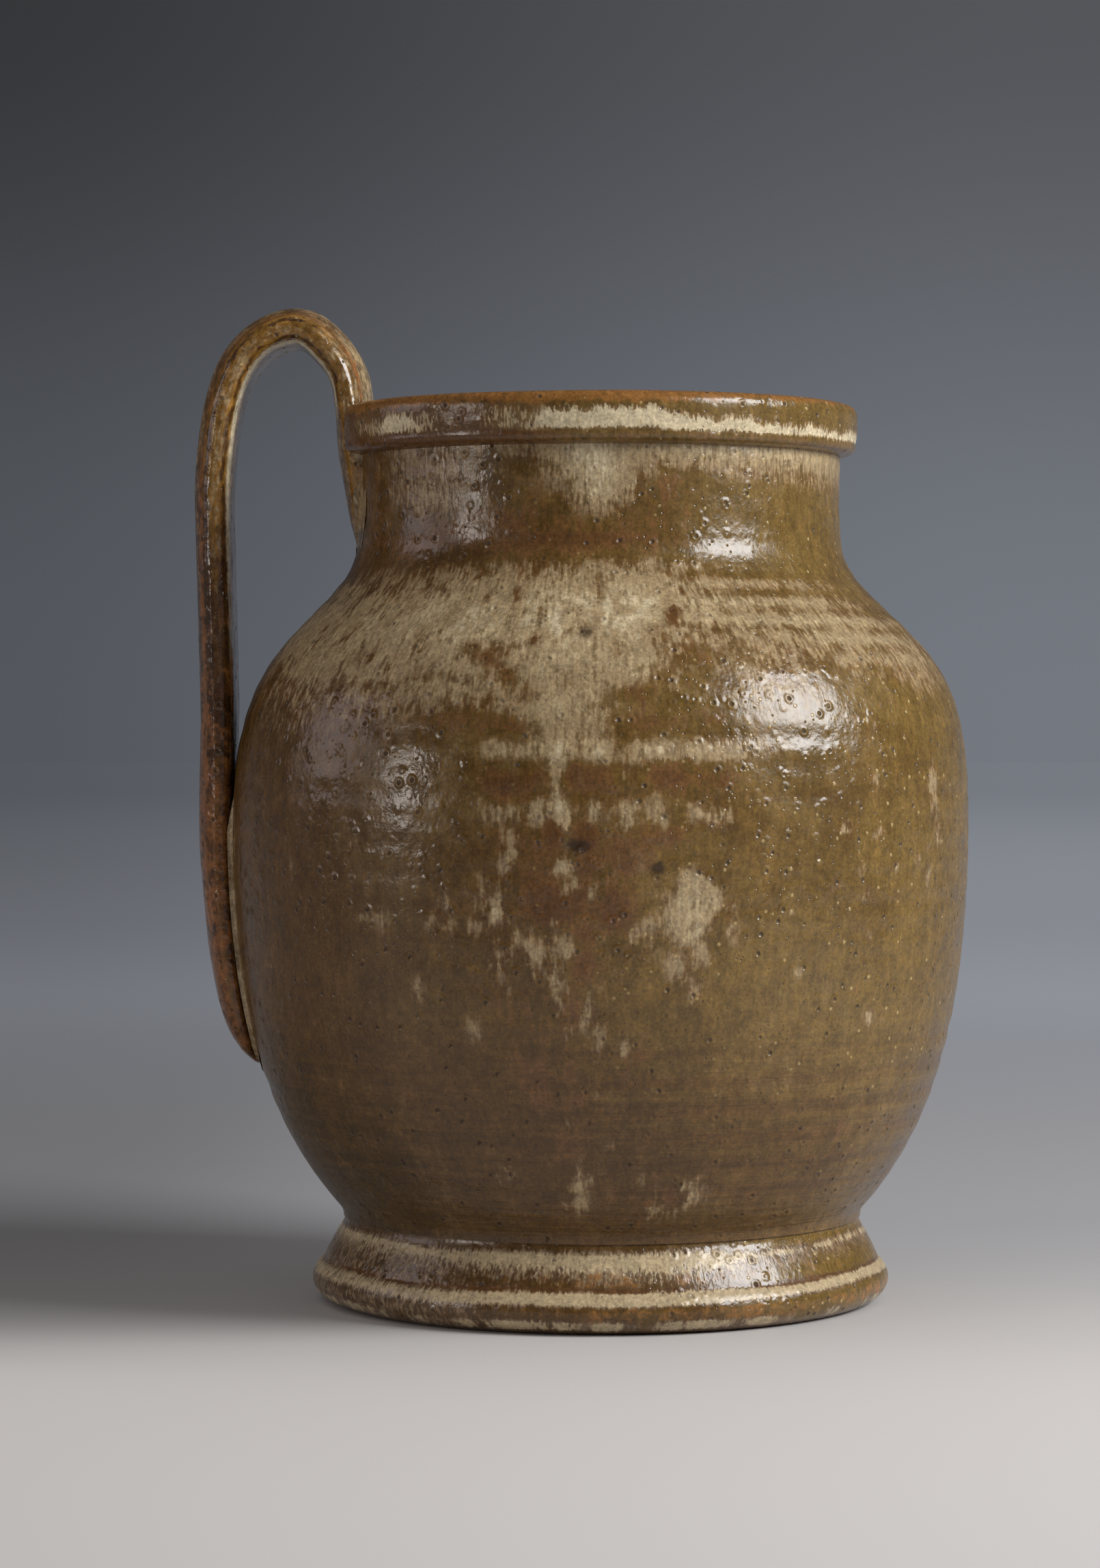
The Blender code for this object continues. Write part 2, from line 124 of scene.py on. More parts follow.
def scaled(vector, factor):
    return wired(vector.tree, "ShaderNodeVectorMath", {0: vector, 3: factor}, operation="SCALE")


def summed(first, second):
    return wired(first.tree, "ShaderNodeVectorMath", {0: first, 1: second}, operation="ADD")


def parted(vector):
    return [Wire(socket) for socket in put(vector.tree, "ShaderNodeSeparateXYZ", {0: vector}).outputs]


def joined(x, y, z):
    return wired(x.tree, "ShaderNodeCombineXYZ", {0: x, 1: y, 2: z})


def grain(where, scale, detail=3.0, rough=0.55):
    feeds = {"Vector": where, "Scale": scale, "Detail": detail, "Roughness": rough}
    return wired(where.tree, "ShaderNodeTexNoise", feeds)


def wander(where, scale, seed):  # smooth noise from -1 to 1
    feeds = {"Vector": where, "W": seed, "Scale": scale, "Detail": 1.5}
    return (wired(where.tree, "ShaderNodeTexNoise", feeds, noise_dimensions="4D") - 0.5) * 2.0


def newTree(name, labels):  # a new tree's inputs by name: its line, its sizes and its finish
    tree = bpy.data.node_groups.new(name, "GeometryNodeTree")
    kinds = {label: "Int" if label.startswith("Steps") else "Float" for label in labels}
    for label, kind in {"Geometry": "Geometry", **kinds, "Material": "Material"}.items():
        tree.interface.new_socket(label, in_out="INPUT", socket_type="NodeSocket" + kind)
    tree.interface.new_socket("Geometry", in_out="OUTPUT", socket_type="NodeSocketGeometry")
    return {socket.name: Wire(socket) for socket in put(tree, "NodeGroupInput").outputs if socket.name}


def endTree(mesh, where, material):  # move the sheet, close its seams, shade it, set the finish and hand it out
    for kind, feeds in (("SetPosition", {"Position": where}), ("MergeByDistance", {"Distance": 2e-6}),
                        ("SetShadeSmooth", {}), ("SetMaterial", {"Material": material}), ("RealizeInstances", {})):
        mesh = wired(mesh.tree, "GeometryNode" + kind, {0: mesh, **feeds})
    put(mesh.tree, "NodeGroupOutput", {0: mesh})
    return mesh.tree


def sampled(line, row, kind, value):  # a value of the line's point at that row
    feeds = {0: line, 1: value, 2: row}
    return wired(line.tree, "GeometryNodeSampleIndex", feeds, data_type=kind, domain="POINT")


def placed(line, row):  # where that point is
    return sampled(line, row, "FLOAT_VECTOR", wired(line.tree, "GeometryNodeInputPosition"))


def named(line, row, label, kind="FLOAT"):  # a value it carries by name
    return sampled(line, row, kind, wired(line.tree, "GeometryNodeInputNamedAttribute", {0: label}, data_type=kind))


def sheetOf(line, columns):  # a grid with one row for each point of the line
    rows = wired(line.tree, "GeometryNodeAttributeDomainSize", {0: line}, component="MESH")
    feeds = {"Size X": 1.0, "Size Y": 1.0, "Vertices X": columns, "Vertices Y": rows}
    grid = wired(line.tree, "GeometryNodeMeshGrid", feeds)
    x, y, _ = parted(wired(line.tree, "GeometryNodeInputPosition"))
    return grid, x + 0.5, calc("ROUND", (y + 0.5) * (rows - 1.0))


# lines and meshes


def runOf(line):  # length along the line at each of its points
    return np.concatenate([[0.0], np.cumsum(np.linalg.norm(np.diff(line[:, :2], axis=0), axis=1))])


def evenly(line, spacing):  # the same line in even steps
    run = runOf(line)
    marks = np.linspace(0.0, run[-1], max(2, int(round(run[-1] / spacing)) + 1))
    return np.column_stack([np.interp(marks, run, line[:, k]) for k in range(line.shape[1])])


def throughKnots(knots, spacing):  # a smooth line through given knots
    knots = np.array(knots, float)
    padded = np.vstack([2 * knots[0] - knots[1], knots, 2 * knots[-1] - knots[-2]])
    share = np.linspace(0.0, 1.0, 16, endpoint=False)[:, None]
    parts = []
    for a, b, c, d in zip(padded, padded[1:], padded[2:], padded[3:]):
        parts.append(b + 0.5 * ((c - a) * share + (2 * a - 5 * b + 4 * c - d) * share ** 2
                                + (3 * b - a - 3 * c + d) * share ** 3))
    return evenly(np.vstack(parts + [knots[-1:]]), spacing)


def pulled(start, startPull, endPull, end, spacing):  # one cubic curve
    share = np.linspace(0.0, 1.0, 240)[:, None]
    start, startPull, endPull, end = (np.array(place, float) for place in (start, startPull, endPull, end))
    line = (start * (1 - share) ** 3 + 3 * startPull * share * (1 - share) ** 2
            + 3 * endPull * share ** 2 * (1 - share) + end * share ** 3)
    return evenly(line, spacing)


def heading(line):  # unit steps along a flat line
    step = np.gradient(line, axis=0)
    return step / np.maximum(np.linalg.norm(step, axis=1), 1e-9)[:, None]


def leftOf(step):  # square to the steps
    return np.column_stack([-step[:, 1], step[:, 0]])


def upright(flat):  # a flat line stood up in x and z
    return np.column_stack([flat[:, 0], np.zeros(len(flat)), flat[:, 1]])


def unit(value):  # held between 0 and 1
    return np.clip(value, 0.0, 1.0)


def bump(value, middle, half):  # 1 at the middle, fading on both sides
    return np.exp(-((value - middle) / half) ** 2)


def store(mesh, label, values):
    values = np.asarray(values, np.float32)
    kind, field = ("FLOAT", "value") if values.ndim == 1 else ("FLOAT_VECTOR", "vector")
    layer = mesh.attributes.new(label, kind, "POINT")
    layer.data.foreach_set(field, values.ravel())


def readBack(mesh, field):  # place or normal of each point
    values = np.empty(len(mesh.vertices) * 3, np.float32)
    mesh.vertices.foreach_get(field, values)
    return values.reshape(-1, 3).astype(float)


def lineMesh(name, places, **values):  # a polyline whose points carry the tree's values
    mesh = bpy.data.meshes.new(name)
    mesh.from_pydata([tuple(place) for place in places], [(k, k + 1) for k in range(len(places) - 1)], [])
    for label, value in values.items():
        store(mesh, label, value)
    return mesh


def made(name, tree, line, sizes):  # run the tree on a line and keep the result as a plain mesh
    source = bpy.data.objects.new(name + "Line", line)
    bpy.context.collection.objects.link(source)
    modifier = source.modifiers.new(tree.name, "NODES")
    modifier.node_group = tree
    for socket in tree.interface.items_tree:
        if socket.in_out == "INPUT" and socket.name in sizes:
            modifier[socket.identifier] = sizes[socket.name]
    graph = bpy.context.evaluated_depsgraph_get()
    mesh = bpy.data.meshes.new_from_object(source.evaluated_get(graph), depsgraph=graph)
    source.modifiers.clear()
    bpy.data.objects.remove(source)
    bpy.data.meshes.remove(line)
    return mesh


def finished(name, mesh, sharp=50.0):  # outward faces, crisp seams, one object at the origin
    shape = bmesh.new()
    shape.from_mesh(mesh)
    bmesh.ops.recalc_face_normals(shape, faces=shape.faces)
    shape.to_mesh(mesh)
    shape.free()
    mesh.shade_smooth()
    mesh.set_sharp_from_angle(angle=math.radians(sharp))
    mesh.name = name
    piece = bpy.data.objects.new(name, mesh)
    bpy.context.collection.objects.link(piece)
    print(name, len(mesh.polygons), "faces")
    return piece


# glazes: colours are linear, scales are per metre

coats = ("tone", "pale", "deep", "rust", "bare", "smut")  # painted on the points, read by the glazes

glazeLook = {
    "olive": (0.151, 0.090, 0.0214),
    "brown": (0.104, 0.0514, 0.0124),
    "poolAndShade": (0.067, 0.0360, 0.0080),  # where the glaze lies thick in the grooves, and painted shade low on the wall and towards the handle
    "warm": (0.150, 0.070, 0.022), "scorch": (0.112, 0.049, 0.015),  # where it breaks brown, and darkest there
    "straw": (0.452, 0.346, 0.197),
    "strawDark": (0.332, 0.239, 0.128),
    "cream": (0.600, 0.500, 0.325),  # the thickest pale glaze
    "veil": (0.225, 0.152, 0.072),
    "rust": (0.240, 0.104, 0.024),
    "ironAndPitShade": (0.030, 0.017, 0.009),
    "glintPaint": (0.480, 0.350, 0.150),
    "clay": (0.330, 0.215, 0.125), "clayDark": (0.235, 0.145, 0.080),
    "teeth": 950.0, "drip": 0.36,  # how closely the ragged drips stand, and how drawn out they are
    "toothed": 0.52, "clouded": 0.40,  # how far drips and clouds push the pale glaze's edge
    "edge": 0.43,  # softness of that edge
    "creamAt": (0.80, 1.30),  # where pale glaze turns to cream
    "turned": 0.0, "mottled": 0.10,  # fine lines round the lower wall, and light and dark flecks
    "gloss": 0.20,  # lowest roughness
}

noiseLook = {  # scale, detail, roughness, and how drawn out it is down the flow (0: not at all)
    "cloud": (30.0, 3.0, 0.55, 0), "patch": (105.0, 5.0, 0.62, 0), "blot": (210.0, 4.0, 0.6, 0),
    "fine": (560.0, 3.0, 0.55, 0), "sand": (1500.0, 2.0, 0.55, 0), "fur": (1400.0, 2.0, 0.55, 0.16),
    "runs": (90.0, 3.0, 0.55, 0.07), "strands": (420.0, 3.0, 0.6, 0.20),
}


def glazeMaterial(name, **changes):
    look = {**glazeLook, **changes}
    material = bpy.data.materials.new(name)
    material.use_nodes = True
    tree = material.node_tree
    here = wired(tree, "ShaderNodeTexCoord", output="Object")
    flow = wired(tree, "ShaderNodeAttribute", output="Vector", attribute_name="flow")
    tone, pale, deep, rust, bare, smut = (
        wired(tree, "ShaderNodeAttribute", output="Fac", attribute_name=label) for label in coats)

    def mapped(where, *stretch):
        return wired(tree, "ShaderNodeMapping", {"Vector": where, "Scale": stretch})

    def lively(*noise):  # a noise opened up to run from 0 to 1
        return soft(grain(*noise), 0.32, 0.68)

    def swing(value, size):  # made to swing about zero
        return calc("MULTIPLY_ADD", value, size, -0.5 * size)

    def shaded(colour, value, size):  # lighter and darker by a noise
        return scaled(colour, calc("MULTIPLY_ADD", value, size, 1.0 - 0.5 * size))

    def cellsOf(scale):
        return put(tree, "ShaderNodeTexVoronoi", {"Vector": here, "Scale": scale}).outputs

    def dots(cells, share, rim, core):  # round marks in a share of the cells
        chosen = calc("GREATER_THAN", Wire(cells["Color"]), 1.0 - share)
        return chosen * soft(Wire(cells["Distance"]), rim, core)

    noises = {}
    for label, (scale, detail, rough, drip) in {
            **noiseLook, "teeth": (look["teeth"], 2.0, 0.5, look["drip"])}.items():
        noises[label] = lively(mapped(flow, 1.0, 1.0, drip) if drip else here, scale, detail, rough)
    cloud, patch, blot, fine, sand, fur, runs, strands, teeth = noises.values()

    def stirred(value, **sizes):  # a value pushed up and down by the noises
        for label, size in sizes.items():
            value = value + swing(noises[label], size)
        return value

    craters, pricks, flecks = cellsOf(290.0), cellsOf(620.0), cellsOf(330.0)  # burst bubbles, and cells for painted glints
    crater, prick = 0.62, 0.50  # share of the cells that hold one

    lines, upper = 0.0, 1.0
    if look["turned"]:
        lowDown = soft(parted(here)[2], 0.092, 0.045)
        lines = swing(lively(mapped(flow, 0.04, 0.04, 1.0), 700.0, 4.0, 0.65), look["turned"]) * lowDown
        upper = calc("MULTIPLY_ADD", lowDown, -0.75, 1.0)  # drips and clouds are faint on the lower wall
    thick = tone + (swing(cloud, 0.3) + swing(patch, 0.25)) * upper
    colour = mixed(soft(thick, 0.0, 1.0), look["brown"], look["olive"])
    colour = mixed(soft(thick, 0.0, -0.8), colour, look["poolAndShade"])
    colour = shaded(shaded(colour, patch, 0.16), runs, 0.14)
    colour = scaled(colour, calc("MULTIPLY_ADD", swing(strands, 0.20), upper, 1.0))
    zone = soft(pale, 0.05, 0.40) * calc("MULTIPLY_ADD", blot, 0.7, 0.3)
    breaks = soft(stirred(deep, patch=0.4, teeth=0.25, strands=0.35, fine=0.15), 0.22, 0.72, 0.94)
    broken = mixed(soft(stirred(deep, blot=0.4), 0.50, 1.00), look["warm"], look["scorch"])
    colour = mixed(calc("MAXIMUM", zone, breaks), colour, broken)
    film = soft(stirred(pale, cloud=0.3, runs=0.16, teeth=0.14, blot=0.22), 0.10, 0.80, 0.75)
    colour = mixed(film, colour, look["veil"])
    ragged = stirred(0.0, teeth=look["toothed"], patch=look["clouded"] * 0.7, blot=look["clouded"] * 0.8,
                     fine=0.16, fur=0.24)
    paleMask = soft(pale + ragged, 0.5 - look["edge"], 0.5 + look["edge"], 0.97) * soft(pale, 0.02, 0.24)
    straw = mixed(blot, look["straw"], look["strawDark"])
    straw = mixed(soft(patch * 0.6 + teeth * 0.4, 0.42, 0.95, 0.55), straw, look["veil"])
    straw = mixed(soft(stirred(pale, teeth=0.3), *look["creamAt"]), straw, look["cream"])
    colour = mixed(paleMask, colour, straw)
    colour = mixed(soft(stirred(rust, blot=0.4, fine=0.3), 0.26, 0.74, 0.9), colour, look["rust"])
    for value, size in ((fur, 0.16), (blot, look["mottled"]), (fine, 0.20 + 0.5 * look["mottled"]), (sand, 0.36)):
        colour = shaded(colour, value, size)
    colour = scaled(colour, 1.0 + lines)

    # the dark cores of the craters and pricks are painted shade in the pits; the smut spots are dark iron specks
    smutMask = soft(stirred(smut, fine=0.3, blot=0.3), 0.25, 0.85, 0.85)
    spots = dots(pricks, prick, 0.20, 0.08) * 0.45 + dots(craters, crater, 0.19, 0.08) * 0.65
    spots = spots * calc("MULTIPLY_ADD", paleMask, -0.55, 1.0)  # fewer show through the pale glaze
    colour = mixed(calc("MAXIMUM", spots, smutMask), colour, look["ironAndPitShade"])
    # painted glints: small honey-coloured dots, most on the golden lit side, stand in for sparkles of the key lamp
    glints = dots(flecks, 0.55, 0.18, 0.08) * soft(tone, 0.2, 0.9, 0.75)
    colour = mixed(glints, colour, look["glintPaint"])

    cutLines = swing(lively(mapped(here, 0.05, 1.0, 1.0), 520.0, 4.0, 0.6), 1.0)  # lines left by the cutting wire
    clay = mixed(patch * 0.5 + cloud * 0.4, look["clay"], look["clayDark"])
    clay = scaled(shaded(clay, sand, 0.30), calc("MULTIPLY_ADD", cutLines, 0.16, 1.0))
    bareMask = soft(stirred(bare, blot=0.2), 0.4, 0.6)
    colour = mixed(bareMask, colour, clay)

    rough = look["gloss"] + patch * 0.10 + paleMask * 0.06 + bareMask * 0.5 + dots(craters, crater, 0.16, 0.06) * 0.5
    peel = grain(here, 190.0, 2.0) * 0.26 + grain(here, 1100.0, 1.0) * 0.06  # in mm, like the pits
    pits = (dots(craters, crater, 0.22, 0.0) * -0.32 + dots(craters, crater, 0.46, 0.20) * 0.10
            + dots(pricks, prick, 0.24, 0.0) * -0.12 + glints * 0.10)
    height = peel + pits + paleMask * 0.04 + lines * 0.25 + cutLines * bareMask * 0.16
    normal = wired(tree, "ShaderNodeBump", {"Strength": 1.0, "Distance": 0.001, "Height": height})
    feed(tree.nodes["Principled BSDF"], {"Base Color": colour, "Roughness": rough, "Normal": normal})
    return material


bellyGlaze = glazeMaterial("bellyGlaze", turned=0.30)
banded = {"toothed": 0.95, "clouded": 0.16, "teeth": 1250.0, "drip": 0.42, "edge": 0.16, "creamAt": (0.45, 0.90)}
footGlaze = glazeMaterial("footGlaze", warm=(0.100, 0.054, 0.024), veil=(0.166, 0.108, 0.064),
                          straw=(0.345, 0.252, 0.140), strawDark=(0.245, 0.168, 0.092), cream=(0.445, 0.345, 0.206),
                          **{**banded, "toothed": 0.62, "drip": 0.60, "clouded": 0.24, "edge": 0.34})
rimGlaze = glazeMaterial("rimGlaze", warm=(0.168, 0.092, 0.030), **banded)
handleGlaze = glazeMaterial("handleGlaze", olive=(0.285, 0.142, 0.027), brown=(0.098, 0.040, 0.011), mottled=0.50,
                            warm=(0.060, 0.025, 0.008), scorch=(0.040, 0.016, 0.005), rust=(0.195, 0.076, 0.020),
                            gloss=0.16)
jointGlaze = glazeMaterial("jointGlaze", straw=(0.43, 0.335, 0.205))
print("glazes made")

# turned members: a profile spun on the wheel, with rings left by the fingers

wheel = {"Steps Around": 560, "Ring Depth": 0.00007, "Ring Pitch": 0.0061, "Wobble": 0.00045,
         "Lean": leanPerMetre, "Lift": 0.00035, "Seed": 4.0}
uneven = {"upward": 14.0, "drift": 0.9, "fade": 2.3}  # noise scales: up the wall, of its wobble, of its rings


def thrownTree():
    size = newTree("thrownForm", wheel)
    line = size["Geometry"]
    grid, across, row = sheetOf(line, size["Steps Around"] + 1.0)
    radius, _, height = parted(placed(line, row))
    rings, groove, aside, lift = (named(line, row, label) for label in ("rings", "groove", "aside", "lift"))
    turn = across * math.tau
    cosine, sine = calc("COSINE", turn), calc("SINE", turn)
    hub = joined(cosine, sine, height * uneven["upward"])
    drift = wander(hub, uneven["drift"], size["Seed"])
    fade = 0.6 + wander(hub, uneven["fade"], size["Seed"] + 5.0) * 1.3
    spiral = calc("SINE", turn + math.tau * (height / size["Ring Pitch"]))
    ring = spiral * size["Ring Depth"] * rings * fade - calc("MAXIMUM", fade, 0.1) * groove
    sway = drift * size["Wobble"] * (radius / 0.06)
    radius = radius + ring + sway
    aside = calc("MULTIPLY_ADD", height, size["Lean"], aside)
    x = calc("MULTIPLY_ADD", radius, cosine, aside)
    return endTree(grid, joined(x, radius * sine, height + drift * size["Lift"] * lift), size["Material"])


thrownForm = thrownTree()


def asideAt(height):  # the potter's hand leaves the shoulder and the foot a little off the axis
    return sum(shift * bump(height, level, reach) for level, reach, shift in sideways)


def thrown(name, material, parts):  # parts: line of radius and height, ring share, lift share, groove depth
    line = np.vstack([part[0] for part in parts])
    rings, lift, groove = (
        np.concatenate([np.broadcast_to(part[k], len(part[0])) for part in parts]) for k in (1, 2, 3))
    profile = lineMesh(name + "Profile", upright(line), rings=rings, lift=lift, groove=groove,
                       aside=asideAt(line[:, 1]))
    return finished(name, made(name, thrownForm, profile, {**wheel, "Material": material}))


def measured(piece):  # each point's angle from the front, radius, height and how far it faces outwards
    place, face = readBack(piece.data, "co"), readBack(piece.data, "normal")
    x = place[:, 0] - leanPerMetre * place[:, 2] - asideAt(place[:, 2])
    angle = np.degrees(np.arctan2(x, -place[:, 1]))  # 0 at the front, 90 at the right, -90 at the handle
    radius = np.hypot(x, place[:, 1])
    outward = (face[:, 0] * x + face[:, 1] * place[:, 1]) / np.maximum(radius, 1e-6)
    return angle, radius, place[:, 2], outward


def marks(angle, height, spots):  # soft ovals: angle, height in mm, half width, half height in mm, strength
    total = np.zeros(len(angle))
    for turn, level, wide, tall, strength in spots:
        away = (angle - turn + 180.0) % 360.0 - 180.0
        total += strength * np.exp(-(away / wide) ** 2 - ((height * 1000.0 - level) / tall) ** 2)
    return total


def scattered(fields, seed):  # many small ovals strewn about a place
    draw = np.random.default_rng(seed)
    spots = []
    for count, turn, level, turnSpread, levelSpread, wide, tall, strength in fields:
        for _ in range(count):
            size = draw.uniform(0.7, 1.4)
            spots.append((turn + turnSpread * draw.normal(), level + levelSpread * draw.normal(), wide * size,
                          tall * size * draw.uniform(0.7, 1.6), strength * draw.uniform(0.6, 1.2)))
    return spots


def band(level, low, high, soften=0.6):  # 1 between two levels
    return unit((level - low) / soften + 0.5) * unit((high - level) / soften + 0.5)


def ripple(angle, seed, size):  # slow change round the pot
    turn = np.radians(angle)
    return size * (np.sin(2 * turn + seed) + np.sin(5 * turn + 2.1 * seed) + np.sin(9 * turn + 3.3 * seed)) / 3


def litSideTone(angle):  # golden towards the lit right of the front, brown towards the handle: partly the glaze's own colour, partly painted light and shade
    return 0.5 + 0.5 * np.cos(np.radians(angle - 75.0))


def frontOf(angle):  # what the photograph shows dies out behind
    return unit((150.0 - np.abs(angle)) / 40.0)


def handleSide(angle):  # 1 at the left of the front
    return unit(-angle / 40.0) * frontOf(angle)


def drum(angle, height, reach=0.075):  # the glaze flows on a drum of that reach
    turn = np.radians(angle)
    return np.column_stack([reach * np.sin(turn), -reach * np.cos(turn), height])


def paint(piece, flow, **values):
    store(piece.data, "flow", flow)
    for label in coats:
        store(piece.data, label, np.clip(np.broadcast_to(values.get(label, 0.0), len(flow)), -1.0, 1.6))


lined = {"tone": 0.30, "pale": 0.15, "deep": 0.12}  # the plain glaze inside

